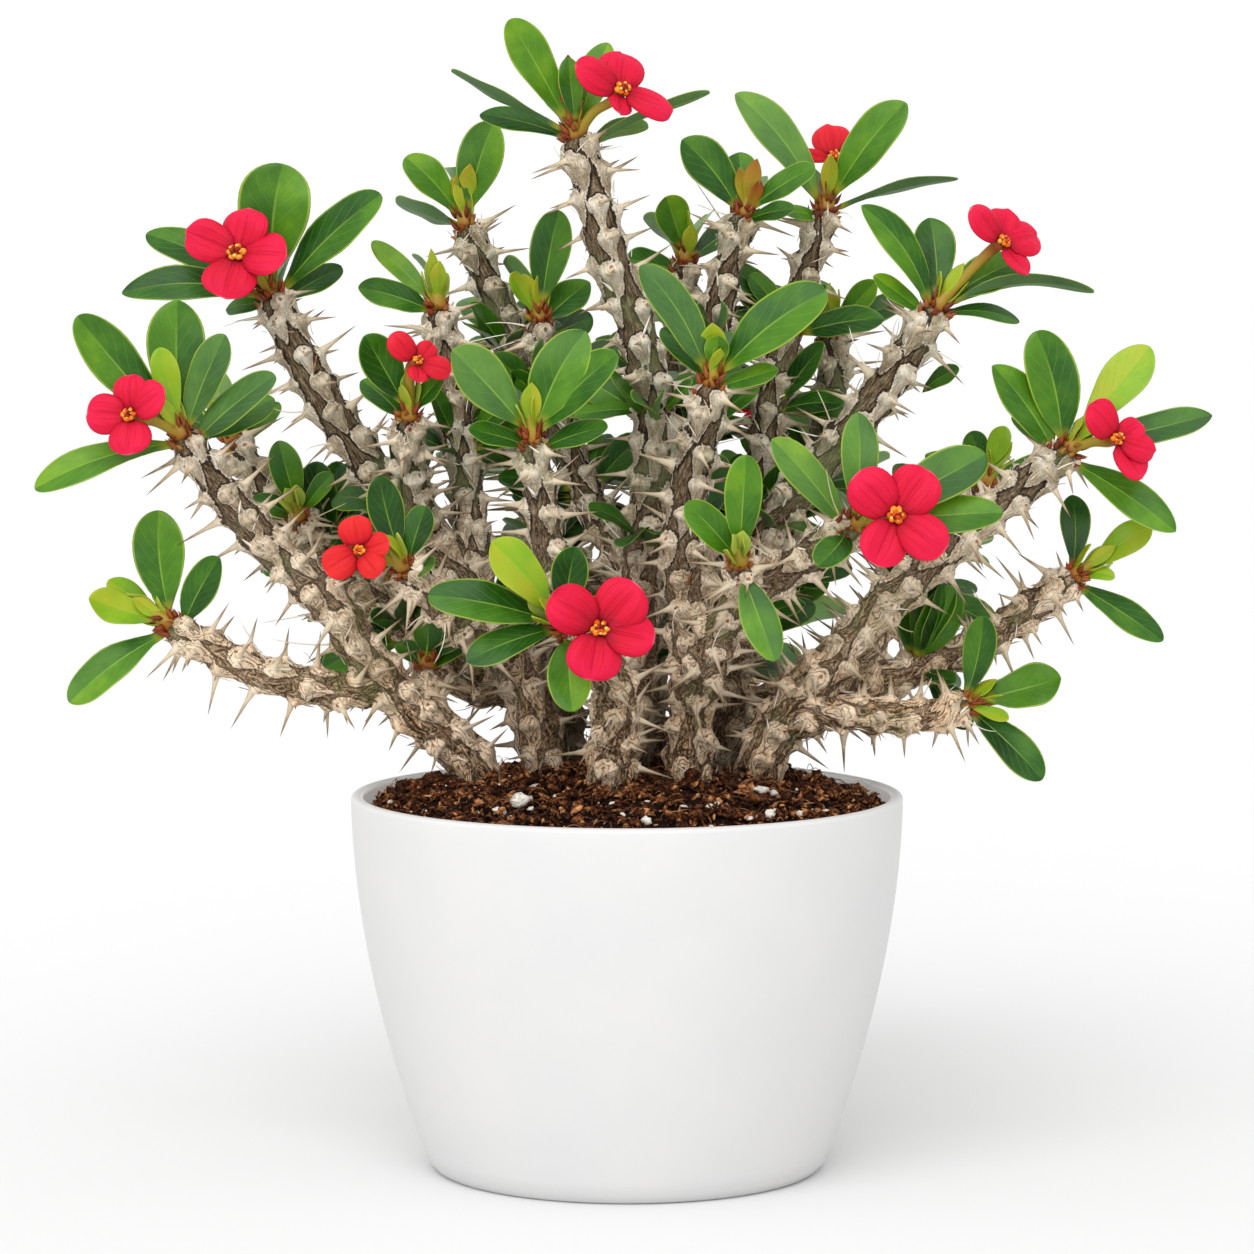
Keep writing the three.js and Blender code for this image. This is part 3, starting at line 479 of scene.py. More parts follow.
def makePlanter():
    p = planter
    shape = bmesh.new()
    heights = np.linspace(p["corner"], p["height"] - p["lip"], p["sideSteps"])
    outside = [(outerRadius(z), z) for z in heights]
    inside = [(outerRadius(z) - p["wall"], z) for z in heights[::-1] if z > p["floor"] + p["corner"]]
    foot = [(outerRadius(0) - p["corner"] * (1 - math.sin(a)), p["corner"] * (1 - math.cos(a)))
            for a in np.linspace(0, math.pi / 2, 5)[:-1]]
    top = outerRadius(p["height"])
    middle = top - p["wall"] / 2
    lip = [(middle + p["wall"] / 2 * math.cos(a), p["height"] - p["lip"] * (1 - math.sin(a) ** 0.8))
           for a in np.linspace(0, math.pi, 13)[1:-1]]
    heel = [(outerRadius(p["floor"]) - p["wall"] - p["corner"] * (1 - math.cos(a)),
             p["floor"] + p["corner"] * (1 - math.sin(a))) for a in np.linspace(0, math.pi / 2, 5)]
    profile = [(0, 0), (20, 0), (45, 0), *foot, *outside, *lip, *inside, *heel, (45, p["floor"]),
               (20, p["floor"]), (0, p["floor"])]
    spinProfile(shape, profile, p["around"])
    cutDrainHoles(finishPiece("planter", shape, planterFinish(), "pot", "pot"))


def cutDrainHoles(piece):
    p = planter
    shape = bmesh.new()
    for i in range(p["drainHoles"]):
        angle = (i + 0.5) * 2 * math.pi / p["drainHoles"]
        centre = Vector((math.cos(angle), math.sin(angle), 0)) * p["drainCircle"]
        place = Matrix.Translation(centre) @ Matrix.Rotation(p["drainTurn"], 4, "Z")
        bmesh.ops.create_cone(shape, cap_ends=True, segments=p["drainAround"], radius1=p["drainRadius"],
                              radius2=p["drainRadius"], depth=p["floor"] * 3, matrix=place)
    bmesh.ops.scale(shape, vec=(toMetres,) * 3, verts=shape.verts)
    tool = newObject("drainTool", shape)
    cut = piece.modifiers.new("drainHoles", "BOOLEAN")
    cut.operation = "DIFFERENCE"
    cut.object = tool
    made = piece.evaluated_get(bpy.context.evaluated_depsgraph_get())
    piece.data = bpy.data.meshes.new_from_object(made)
    piece.modifiers.clear()
    bpy.data.objects.remove(tool)


def planterFinish():
    finish = Finish("whiteCeramic")
    place = finish.place()
    clouds = finish.grain(place, 26, 4)
    specks = finish.grain(place, 1400, 2)
    outside = finish.ramp(clouds, (0.3, 206, 206, 206), (0.75, 211, 210, 209))
    x, y, z = finish.parts(place)
    # Painted light: the inner wall above the soil is painted lighter and glows faintly, standing in for the
    # light that falls into the pot from above.
    inside = (x * x + y * y).rise(0.0077, 0.0073) * z.rise(0.1, 0.11)
    finish.set(Colour=finish.blend(inside, outside, paint(244, 244, 243)),
               Glow=finish.blend(inside, paint(0, 0, 0), paint(255, 255, 255)), Light=0.2,
               Roughness=clouds * 0.12 + 0.34, Specular=0.4)
    finish.bump(specks * 0.6 + clouds, 0.12, 0.0002)
    return finish


soil = dict(edge=118, mound=127.5, fullness=3.6, relief=1.2, bedDrop=2.2, gap=0.35, around=150, rings=58,
            lumpScale=0.14, lumps=4.4, crumbs=8800, crumbSizes=(0.35, 2), clods=140, clodSizes=(1.2, 3.4),
            clodTones=(0, 0.45), fibres=700, fibreLengths=(3, 9), fibreRadii=(0.08, 0.22),
            fibreBends=(-0.9, 0.9), fibreLifts=(0.2, 2.2), perlite=70,
            perliteSizes=(0.4, 1.3),
            bigPerlite=((-30, -21, 2.7), (-34, -48, 2.9), (-40, -55, 2), (43, -29, 2.6), (47, -31, 1.7),
                        (45, -57, 2.3), (6, -73, 2.3), (18, -54, 1.4), (26, -52, 1.4), (-62, 32, 1),
                        (-23, -35, 0.8), (-47, -54, 0.8)))


def innerRadius(z):
    return outerRadius(z) - planter["wall"]


def soilHeight(x, y):
    share = np.minimum(1, np.hypot(x, y) / innerRadius(soil["edge"]))
    heap = soil["edge"] + (soil["mound"] - soil["edge"]) * (1 - share ** soil["fullness"])
    crumbs = np.sin(x * 0.31 + 1.3) * np.cos(y * 0.27) + 0.6 * np.sin(x * 0.13 - y * 0.37)
    return heap + soil["relief"] * crumbs * (1 - share ** 6)


# How far the lumps of the loose soil rise above its plain height, for crumbs and bed alike
def lumpRise(x, y):
    share = min(1, math.hypot(x, y) / innerRadius(soil["edge"]))
    rough = noise.fractal(Vector((x, y, 5)) * soil["lumpScale"], 0.7, 2.1, 4)
    return soil["lumps"] * rough * (1 - 0.6 * share ** 6)


def makeSoilBed():
    edge = innerRadius(soil["edge"]) - soil["gap"]
    bottom = planter["floor"] + soil["gap"]
    shape = newShape()
    profile = [(0, bottom), (innerRadius(planter["floor"]) - planter["corner"] - soil["gap"] * 2, bottom)]
    sides = np.linspace(planter["floor"] + 4, soil["edge"], 12)
    profile += [(innerRadius(z) - soil["gap"], z) for z in sides]
    profile += [(edge * (1 - i / soil["rings"]), soil["edge"]) for i in range(1, soil["rings"] + 1)]
    spinProfile(shape, profile, soil["around"])
    for vert in shape.verts:
        x, y, z = vert.co
        if z > soil["edge"] - 0.01:
            vert.co.z = float(soilHeight(x, y)) - soil["bedDrop"] + lumpRise(x, y)
    return finishPiece("soil_bed", shape, soilFinish("darkSoil", 0), "soil", "soil")


def somewhere(margin):
    radius = (innerRadius(soil["edge"]) - margin) * math.sqrt(seeded.random())
    turn = seeded.uniform(0, 2 * math.pi)
    return radius * math.cos(turn), radius * math.sin(turn)


def turnedAnyWay(sizes):
    way = Euler([seeded.uniform(0, 6.28) for _ in range(3)]).to_matrix().to_4x4()
    return way @ Matrix.Diagonal((*sizes, 1))


def addLump(shape, finer, size, spot, flatness, stretches):
    stretch = [size * seeded.uniform(*pair) for pair in stretches]
    made = bmesh.ops.create_icosphere(shape, subdivisions=finer, radius=1)["verts"]
    for vert in made:
        vert.co *= seeded.uniform(0.65, 1.3)
    place = Matrix.Translation(spot) @ Matrix.Diagonal((1, 1, flatness, 1)) @ turnedAnyWay(stretch)
    bmesh.ops.transform(shape, matrix=place, verts=made)
    return made


# Many small shapes are made in batches, because each operator goes through all of the shape that it adds to.
def inBatches(shape, total, size, addOne):
    for start in range(0, total, size):
        batch = newShape()
        for i in range(start, min(start + size, total)):
            addOne(batch, i)
        absorb(shape, batch)


def absorb(shape, batch):
    mesh = bpy.data.meshes.new("batch")
    batch.to_mesh(mesh)
    batch.free()
    shape.from_mesh(mesh)
    bpy.data.meshes.remove(mesh)


def makeCrumbs():
    small, large = soil["crumbSizes"]

    def crumb(batch, _):
        x, y = somewhere(1.5)
        size = small + (large - small) * seeded.random() ** 3
        rise = lumpRise(x, y)
        spot = (x, y, float(soilHeight(x, y)) + rise + seeded.uniform(-1.7, 0.6))
        made = addLump(batch, 1, size, spot, 0.9, ((0.25, 0.6), (0.6, 1.1), (1, 2.1)))
        # A crumb's tone is random, and crumbs low in the hollows get a darker tone: painted shade.
        tone = seeded.random() ** 1.5 * min(1, max(0.3, 0.75 + 0.3 * rise))
        markAll(batch, made, (tone, 0, 0))

    def clod(batch, _):
        x, y = somewhere(5)
        size = seeded.uniform(*soil["clodSizes"])
        spot = (x, y, float(soilHeight(x, y)) + lumpRise(x, y) + 0.2 * size)
        made = addLump(batch, 2, size, spot, 0.8, ((0.6, 1), (0.7, 1.1), (0.9, 1.4)))
        markAll(batch, made, (seeded.uniform(*soil["clodTones"]), 0, 0))

    shape = newShape()
    inBatches(shape, soil["crumbs"], 150, crumb)
    inBatches(shape, soil["clods"], 40, clod)
    return finishPiece("soil_crumbs", shape, soilFinish("soilCrumb", 1), "soil")


def makeFibres():
    def fibre(batch, _):
        x, y = somewhere(5)
        length = seeded.uniform(*soil["fibreLengths"])
        turn = seeded.uniform(0, 2 * math.pi)
        bend = seeded.uniform(*soil["fibreBends"])
        lift = seeded.uniform(*soil["fibreLifts"])
        thick = seeded.uniform(*soil["fibreRadii"])
        tone = seeded.random()

        def strand(share, around):
            way = turn + bend * share
            px = x + np.cos(way) * length * (share - 0.5)
            py = y + np.sin(way) * length * (share - 0.5)
            rim = np.minimum(1, innerRadius(soil["edge"]) * 0.975 / np.hypot(px, py))
            px, py = px * rim, py * rim
            pz = soilHeight(px, py) + lumpRise(x, y) + 0.3 + lift * np.sin(math.pi * share)
            wide = thick * (1 - 0.6 * share)
            places = np.column_stack([px - np.sin(way) * np.cos(around) * wide,
                                      py + np.cos(way) * np.cos(around) * wide, pz + np.sin(around) * wide])
            return places, spread(len(share), tone, 0, 0), spread(len(share), 0, 0, 0)

        addSleeve(batch, 3, 6, strand)

    shape = newShape()
    inBatches(shape, soil["fibres"], 60, fibre)
    return finishPiece("soil_fibres", shape, fibreFinish(), "soil")


def makePerlite():
    shape = newShape()
    small, large = soil["perliteSizes"]
    grains = [*soil["bigPerlite"]]
    for _ in range(soil["perlite"]):
        grains.append((*somewhere(6), small + (large - small) * seeded.random() ** 2.2))
    for x, y, size in grains:
        spot = (x, y, float(soilHeight(x, y)) + max(0, lumpRise(x, y)) + size * 0.4)
        made = addLump(shape, 2, size, spot, 0.8, ((0.4, 1), (0.6, 1.1), (0.9, 1.4)))
        bmesh.ops.smooth_vert(shape, verts=made, factor=0.3, use_axis_x=True, use_axis_y=True,
                              use_axis_z=True)
        markAll(shape, made, (seeded.random(), 0, 0))
    return finishPiece("soil_perlite", shape, perliteFinish(), "soil")


def soilFinish(name, loose):
    finish = Finish(name)
    place = finish.place()
    tone = finish.parts(finish.mark("skinMap"))[0]
    clumps = finish.grain(place, 700, 5, 0.7)
    # The bed beneath the crumbs is darker than the crumbs: painted shade in the gaps between them.
    value = clumps * 0.95 + tone * (0.34 * loose) - 0.14 - 0.06 * (1 - loose)
    colour = finish.ramp(value, (0.24, 9, 5, 3), (0.37, 52, 27, 14), (0.5, 114, 66, 36),
                         (0.7, 224, 158, 106))
    finish.set(Colour=colour, Roughness=clumps * 0.3 + 0.65, Specular=0.15)
    finish.bump(finish.grain(place, 1300, 3) + clumps, 0.9, 0.0009)
    return finish


def fibreFinish():
    finish = Finish("barkFibre")
    tone = finish.parts(finish.mark("skinMap"))[0]
    grain = finish.grain(finish.place(), 600, 3)
    colour = finish.ramp(tone * 0.75 + grain * 0.35, (0.2, 50, 26, 14), (0.6, 122, 70, 38),
                         (0.95, 196, 138, 88))
    finish.set(Colour=colour, Roughness=grain * 0.2 + 0.6)
    finish.bump(grain, 0.4, 0.0003)
    return finish


def perliteFinish():
    finish = Finish("perliteGrain")
    pits = finish.grain(finish.place(), 700, 4, 0.65)
    finish.set(Colour=finish.ramp(pits, (0.3, 150, 140, 126), (0.55, 226, 220, 210)),
               Roughness=pits * 0.2 + 0.65)
    finish.bump(pits, 0.6, 0.0005)
    return finish


bark = dict(around=44, ring=0.8, ringStep=16, perRow=6, goldenTurn=137.5, sides=6, base=0.86, tipGap=0.6,
            tipRadius=3.6, shieldStep=0.6, shieldHeight=1.5, above=3.8, below=11, halfWidth=4.3, pairGap=1.9,
            footRise=1.9, footSize=2.2, fibres=0.3, wrinkles=0.8, youngFrom=230, oldFrom=150, topScars=5,
            scarSizes=(0.85, 1.1), fullRadius=7)
thorn = dict(length=16, lengthVary=2.5, lean=0.3, lift=0.15, around=5,
             stations=(0, 0.07, 0.18, 0.4, 0.72, 1), radii=(3.4, 2.2, 1.25, 0.68, 0.36, 0.03),
             shortest=5, longest=18, soilClear=6, clear=2.5)
sliver = dict(share=0.85, around=4, steps=5, lengths=(3, 8), width=0.5, widthShares=(0.5, 1.3),
              drifts=(-6, 3), asides=(-3.5, 3.5), twists=(-1.2, 1.2), curls=(0.3, 2.2), tones=(1.2, 2))
wisp = dict(share=0.16, around=3, steps=9, lengths=(9, 22), radius=0.3, bend=6, lifts=(-0.3, 0.9),
            tones=(1.3, 2))


def radiusAt(branch, route, at):
    foot, top = branch["radii"]
    woody = route.length - rosette["below"]
    radius = foot + (top - foot) * np.sqrt(np.clip(at / woody, 0, 1))
    beyond = np.clip((at - woody) / rosette["below"], 0, 1)
    return radius - (radius - bark["tipRadius"]) * beyond ** 1.6


# Where leaves have been: a scar between two thorns. Each branch's list holds its distance along the branch,
# its turn round it, and its thorns: turn, direction and length.
def findScars(branch, route, solidThorns, isClear):
    woody = route.length - rosette["below"]
    rows = max(2, int(woody / bark["ringStep"] + 0.5))
    ringGap = woody / rows
    scars = []
    for row in range(rows):
        side = int(row * bark["goldenTurn"] * bark["sides"] / 360 + 0.5) % bark["sides"]
        turn = (side + 0.5) * math.pi * 2 / bark["sides"]
        middle = (rows - row - 0.5) * ringGap
        radius = float(radiusAt(branch, route, middle))
        foot = route.at(middle) + radial(route.along(middle), np.array(turn)) * radius * math.cos(math.pi / 6)
        along = route.along(middle)
        out = unitRows(foot - route.at(middle))
        lean = thorn["lean"] * math.sin(row * 2.4)
        way = unitRows(out + along * thorn["lift"] + np.cross(along, out) * lean)
        length = thorn["length"] + thorn["lengthVary"] * math.sin(row * 1.7)
        sideways = seeded.choice((-1, 1)) * bark["pairGap"] / radius
        pair = [(turn, way, length)] if solidThorns.find(foot + way * length)[2] < 1.2 else []
        scars.append(dict(at=middle, turn=turn + sideways, thorns=pair, extra=[turn + 2 * sideways]))
        for step in range(1, bark["perRow"]):
            at = middle + ringGap * (step + seeded.uniform(-0.3, 0.3)) / bark["perRow"]
            middleTurn = turn - math.radians(bark["goldenTurn"] + 360) * step / bark["perRow"]
            middleTurn += seeded.uniform(-0.2, 0.2)
            apart = bark["pairGap"] / float(radiusAt(branch, route, at))
            if at < route.length - 2.5:
                beside = [middleTurn - apart, middleTurn + apart]
                scars.append(dict(at=at, turn=middleTurn, thorns=[], extra=beside))
    for i in range(bark["topScars"]):
        turn = math.radians(bark["goldenTurn"]) * i + seeded.uniform(-0.2, 0.2)
        scars.append(dict(at=route.length - 2 - 1.5 * i, turn=turn, thorns=[], extra=[turn + 0.35] * (i > 1)))
    for scar in scars:
        place, along = route.at(scar["at"]), route.along(scar["at"])
        radius = float(radiusAt(branch, route, scar["at"]))
        scar["size"] = min(1.15, (radius / bark["fullRadius"]) ** 0.5) * seeded.uniform(*bark["scarSizes"])
        scar["tone"] = seeded.random()
        for turn in scar["extra"]:
            out = radial(along, np.array(turn))
            lean = math.copysign(seeded.uniform(0.3, 0.95), scar["turn"] - turn)
            way = unitRows(out + along * seeded.uniform(-0.35, 0.3) + np.cross(along, out) * lean)
            length = thorn["shortest"] + (thorn["longest"] - thorn["shortest"]) * seeded.random() ** 0.4
            length *= seeded.uniform(0.2, 0.8) if scar["thorns"] else 1
            for fitted in (length, length * 0.6, length * 0.35):
                if fitted > 3 and isClear(place + out * radius, way, fitted):
                    scar["thorns"].append((turn, way, fitted))
                    break
    return scars


def wrapped(turn):
    return (turn + math.pi) % (2 * math.pi) - math.pi


def makeBranchSleeve(shape, branch, route, scars):
    full = route.length - bark["tipGap"]

    def rind(share, turn):
        at = share * full
        radius = radiusAt(branch, route, at)
        along = route.along(at)
        out = radial(along, turn)
        place = route.at(at)
        old = np.clip((bark["youngFrom"] - place[:, 2]) / (bark["youngFrom"] - bark["oldFrom"]), 0, 1)
        spots = np.column_stack([np.sin(turn) * radius, np.cos(turn) * radius, at])
        fibre = np.array([noise.fractal(spot, 0.6, 2, 3) for spot in (spots * (0.55, 0.55, 0.16)).tolist()])
        fold = np.array([noise.noise(spot) for spot in (spots * (0.42, 0.42, 0.3) + 31).tolist()])
        inside = np.full_like(at, -1.0)
        behind = np.full_like(at, -1.0)
        scarred = np.zeros_like(at)
        feet = np.zeros_like(at)
        tone = np.zeros_like(at)
        for scar in scars:
            near = np.flatnonzero(np.abs(at - scar["at"] + 4) < 12 * scar["size"])
            du = (at[near] - scar["at"]) / scar["size"]
            dv = wrapped(turn[near] - scar["turn"]) * radius[near] / scar["size"]
            long = np.where(du > 0, bark["above"], bark["below"])
            wide = bark["halfWidth"] * np.where(du > 0, 1, 1 + 0.05 * du)
            depth = 1 - np.hypot(du / long, dv / wide) + 0.16 * fibre[near]
            behind[near] = np.maximum(behind[near], np.minimum(depth, inside[near]))
            deeper = depth > inside[near]
            inside[near[deeper]] = depth[deeper]
            tone[near[deeper]] = scar["tone"]
            aside = (scar["tone"] - 0.7) * 6
            spot = np.exp(-(((du - 1 - aside * 0.6) / 0.75) ** 2
                            + ((dv - aside) / (1.3 - scar["tone"] * 0.6)) ** 2))
            scarred[near] = np.maximum(scarred[near], spot * (scar["tone"] > 0.5))
            for thornTurn, _, _ in scar["thorns"]:
                dv = wrapped(turn[near] - thornTurn) * radius[near]
                feet[near] = np.maximum(feet[near], np.exp(-((du / 2.6) ** 2 + (dv / bark["footSize"]) ** 2)))
        shield = np.clip(np.minimum(inside, (inside - behind) * 1.6) / 0.16, 0, 1)
        fold = 1 - np.abs(fold) * 3.2
        relief = (bark["shieldStep"] * shield
                  + bark["shieldHeight"] * np.clip(inside, 0, 1) ** 1.4 * (1 - 0.3 * old))
        relief = relief + bark["footRise"] * feet - 0.6 * scarred + bark["fibres"] * fibre
        relief = relief + bark["wrinkles"] * old * fold * (1 - 0.7 * shield)
        ends = np.minimum(1, np.minimum(share, 1 - share) * full / 2.5) ** 0.5
        places = place + out * ((radius * bark["base"] + relief) * ends)[:, None]
        height = np.clip(0.5 + 0.5 * inside, 0, 1)
        tint = np.column_stack([height, scarred, np.round(old * 20) + tone * 0.9])
        return places, spots, tint, np.column_stack([np.clip(inside - behind, 0, 1), feet, old])

    addSleeve(shape, bark["around"], int(full / bark["ring"]), rind)


# Dry stipules and peeling bark: thin curved slivers close to the stem
def addSliver(shape, branch, route, scar):
    at = scar["at"] + seeded.uniform(*sliver["drifts"])
    radius = float(radiusAt(branch, route, at)) + 0.6
    turn = scar["turn"] + seeded.uniform(*sliver["asides"]) / radius
    length = seeded.uniform(*sliver["lengths"])
    twist = seeded.uniform(*sliver["twists"])
    curl = seeded.uniform(*sliver["curls"])
    tone = seeded.uniform(*sliver["tones"])
    wide = sliver["width"] * seeded.uniform(*sliver["widthShares"])

    def strip(share, angle):
        here = np.clip(at + length * (share - 0.5) * math.cos(twist), 0, route.length)
        hereTurn = turn + length * (share - 0.5) * math.sin(twist) / radius
        along = route.along(here)
        out = radial(along, hereTurn)
        high = radius + 0.3 + curl * share ** 2
        flat = wide * np.sin(math.pi * (0.12 + 0.86 * share))
        places = (route.at(here) + out * (high + 0.14 * np.sin(angle))[:, None]
                  + np.cross(along, out) * (np.cos(angle) * flat)[:, None])
        return places, spread(len(share), 0.2, tone, 0), spread(len(share), 0, 0, 0)

    addSleeve(shape, sliver["around"], sliver["steps"], strip)


# The thin dry stalk of an old flower
def addWisp(shape, branch, route, scar, isClear):
    along = route.along(scar["at"])
    out = radial(along, np.array(scar["turn"]))
    foot = route.at(scar["at"]) + out * float(radiusAt(branch, route, scar["at"])) * 0.9
    way = unitRows(out + along * seeded.uniform(*wisp["lifts"]))
    length = seeded.uniform(*wisp["lengths"])
    bend = np.array([seeded.uniform(-1, 1) for _ in range(3)]) * wisp["bend"]
    tone = seeded.uniform(*wisp["tones"])
    across, up = frameAcross(way, along)

    def strand(share, turn):
        t = share[:, None]
        wide = wisp["radius"] * (1 - 0.5 * t + 1.2 * (1 - t) ** 8)
        places = foot + way * length * t + bend * t ** 2 + ringWay(across, up, turn) * wide
        return places, spread(len(share), 0.2, tone, 0), spread(len(share), 0, 0, 0)

    if isClear(foot, way, length) and isClear(foot, unitRows(way * length + bend), length):
        addSleeve(shape, wisp["around"], wisp["steps"], strand)


def addThorn(shape, route, at, radius, thornTurn, way, length, tone):
    along = route.along(at)
    out = radial(along, np.array(thornTurn))
    foot = route.at(at) + out * radius * 0.8
    tip = route.at(at) + out * radius * math.cos(math.pi / 6) + way * length
    bow = np.cross(way, along) * seeded.uniform(-0.9, 0.9)
    across, up = frameAcross(way, along)

    def spike(share, turn):
        t = np.interp(share, np.linspace(0, 1, len(thorn["stations"])), thorn["stations"])
        wide = np.interp(t, thorn["stations"], thorn["radii"])
        flat = 1 + 0.35 * np.exp(-((t / 0.15) ** 2))
        middle = foot + (tip - foot) * t[:, None] + bow * (t * (1 - t) * 1.6)[:, None]
        places = (middle + across * (np.sin(turn) * wide * 0.9)[:, None]
                  + up * (np.cos(turn) * wide * flat)[:, None])
        return places, spread(len(t), t, tone, 0), spread(len(t), 0, 0, 0)

    addSleeve(shape, thorn["around"], len(thorn["stations"]) - 1, spike)


def solidTree(name):
    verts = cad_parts[name].data.vertices
    tree = kdtree.KDTree(len(verts))
    for i, vert in enumerate(verts):
        tree.insert(vert.co / toMetres, i)
    tree.balance()
    return tree


def clearanceTest():
    joined = bmesh.new()
    for name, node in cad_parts.items():
        if name != "pot":
            joined.from_mesh(node.data)
    solids = BVHTree.FromBMesh(joined)
    joined.free()

    def isClear(foot, way, length):
        if foot[2] < soil["mound"] + thorn["soilClear"]:
            return False
        start = Vector(foot + way * min(thorn["clear"], length * 0.5)) * toMetres
        return solids.ray_cast(start, Vector(way), (length - 1) * toMetres)[0] is None

    return isClear


def makeStem(name, branches, barkLook, thornLook, isClear):
    solidThorns = solidTree(name)
    rind, thorns = newShape(), newShape()
    for branch in branches:
        route = Route(branch["path"])
        scars = findScars(branch, route, solidThorns, isClear)
        makeBranchSleeve(rind, branch, route, scars)
        batch = newShape()
        for scar in scars:
            radius = float(radiusAt(branch, route, scar["at"]))
            for turn, way, length in scar["thorns"]:
                addThorn(batch, route, scar["at"], radius, turn, way, length, seeded.random())
            if seeded.random() < sliver["share"]:
                addSliver(batch, branch, route, scar)
            if seeded.random() < wisp["share"]:
                addWisp(batch, branch, route, scar, isClear)
        absorb(thorns, batch)
    finishPiece(name.replace("stem", "bark"), rind, barkLook, "bark", name)
    finishPiece(name.replace("stem", "thorns"), thorns, thornLook, "bark", name)


# How deep in the shaded heart of the plant a point is: bark and thorns there are darkened with painted shade.
def heartShade(finish):
    x, y, z = finish.parts(finish.place())
    return z.rise(0.21, 0.135) * (x * x + y * y).rise(0.0065, 0.0015) * y.rise(0, 0.03)


def barkFinish():
    finish = Finish("greyBark")
    spot = finish.mark("skinMap")
    height, scar, ageTone = finish.parts(finish.mark("skinTint"))
    border, foot, old = finish.parts(finish.mark("skinFold"))
    tone = ageTone.maths("FRACT")
    streaks = finish.grain(finish.stretched(spot, (1, 1, 0.28)), 0.85, 4, 0.62)
    threads = finish.grain(finish.stretched(spot, (1, 1, 0.13)), 2.4, 3, 0.6)
    specks = finish.grain(spot, 1.5, 4, 0.7)
    patches = finish.grain(finish.place(), 38, 3)
    inside = (height - 0.5) * 2 + (streaks - 0.5) * 0.4 + (specks - 0.5) * 0.3
    shield = inside.rise(0.02, 0.1) * (border + (specks - 0.5) * 0.12).rise(0.015, 0.05)
    flow = finish.grain(finish.stretched(spot, (1, 1, 0.65)), 0.15, 2, 0.45, 0.9)
    rings = (inside * 2.2 + flow * 9).maths("PINGPONG", 0.5) * 2
    grooves = rings.rise(0.34, 0.02) * (old * 0.72 + 0.16) * streaks.rise(0.3, 0.5)
    furrow = finish.ramp(threads * 0.6 + streaks * 0.4 + specks * 0.3 - 0.14, (0.32, 32, 22, 14),
                         (0.46, 82, 65, 46), (0.58, 140, 122, 96), (0.74, 198, 184, 158))
    pores = finish.grain(spot, 4.5, 3, 0.7)
    light = inside * 0.3 + streaks * 0.55 + threads * 0.55 + specks * 0.55 + pores * 0.5
    light = light + tone * 0.3 + foot * 0.16
    light = light + old * 0.1 - 0.87
    silver = finish.ramp(light, (0.05, 72, 54, 36), (0.27, 140, 120, 94),
                         (0.5, 190, 174, 148), (0.82, 241, 232, 213))
    tan = finish.ramp(light, (0.05, 68, 44, 24), (0.24, 146, 115, 80),
                      (0.46, 210, 182, 146), (0.8, 252, 241, 222))
    cover = shield.maths("MAXIMUM", old * 0.66)
    colour = finish.blend(cover, furrow, finish.blend(old * 0.95, silver, tan))
    # Painted shade: a dark line round each shield's edge, where it steps down to the furrow; the grooves are
    # the bark's own ring lines.
    seam = inside.rise(-0.12, -0.03) * inside.rise(0.08, 0.01)
    dark = (seam * (1 - old * 0.4)).maths("MAXIMUM", grooves) * (1 - foot * 0.6)
    colour = finish.blend(dark * 0.92, colour, paint(38, 26, 17))
    peel = inside.rise(0.08, 0.12) * inside.rise(0.24, 0.16) * specks.rise(0.4, 0.52)
    peel = peel.maths("MAXIMUM", rings.rise(0.62, 0.78) * rings.rise(1, 0.86) * old * specks.rise(0.4, 0.55))
    colour = finish.blend(peel * 0.7, colour, paint(244, 236, 220))
    colour = finish.blend(patches.rise(0.5, 0.66) * (0.6 - shield * 0.3), colour, paint(120, 132, 88))
    circle = scar.rise(0.12, 0.25) * scar.rise(0.5, 0.36)
    colour = finish.blend(circle * 0.8, colour, paint(232, 222, 204))
    flecks = pores.rise(0.56, 0.64) * specks.rise(0.48, 0.56) * (old * 0.35 + 0.4)
    colour = finish.blend(flecks, colour, paint(160, 92, 46))
    z = finish.parts(finish.place())[2]
    # Darker towards the soil away from the shields, partly moist bark and partly painted shade; the heart of
    # the plant gets painted shade as well.
    dampAndLowShade = z.rise(0.2, 0.13) * (1 - shield * 0.7) * streaks.rise(0.6, 0.42)
    colour = finish.blend((dampAndLowShade * 0.6).maths("MAXIMUM", heartShade(finish) * 0.72), colour, paint(38, 26, 17))
    colour = finish.blend(old, colour, finish.stretched(colour, (1.24, 1.08, 0.94)))
    rust = finish.ramp(specks, (0.35, 98, 50, 26), (0.6, 196, 118, 62))
    colour = finish.blend(scar.rise(0.42, 0.6) * 0.9, colour, rust)
    finish.set(Colour=colour, Roughness=specks * 0.25 + 0.62, Specular=0.22)
    finish.bump(shield * 1.2 + threads * 0.6 + streaks * 0.5 + specks * 0.5 - dark, 1, 0.0012)
    return finish


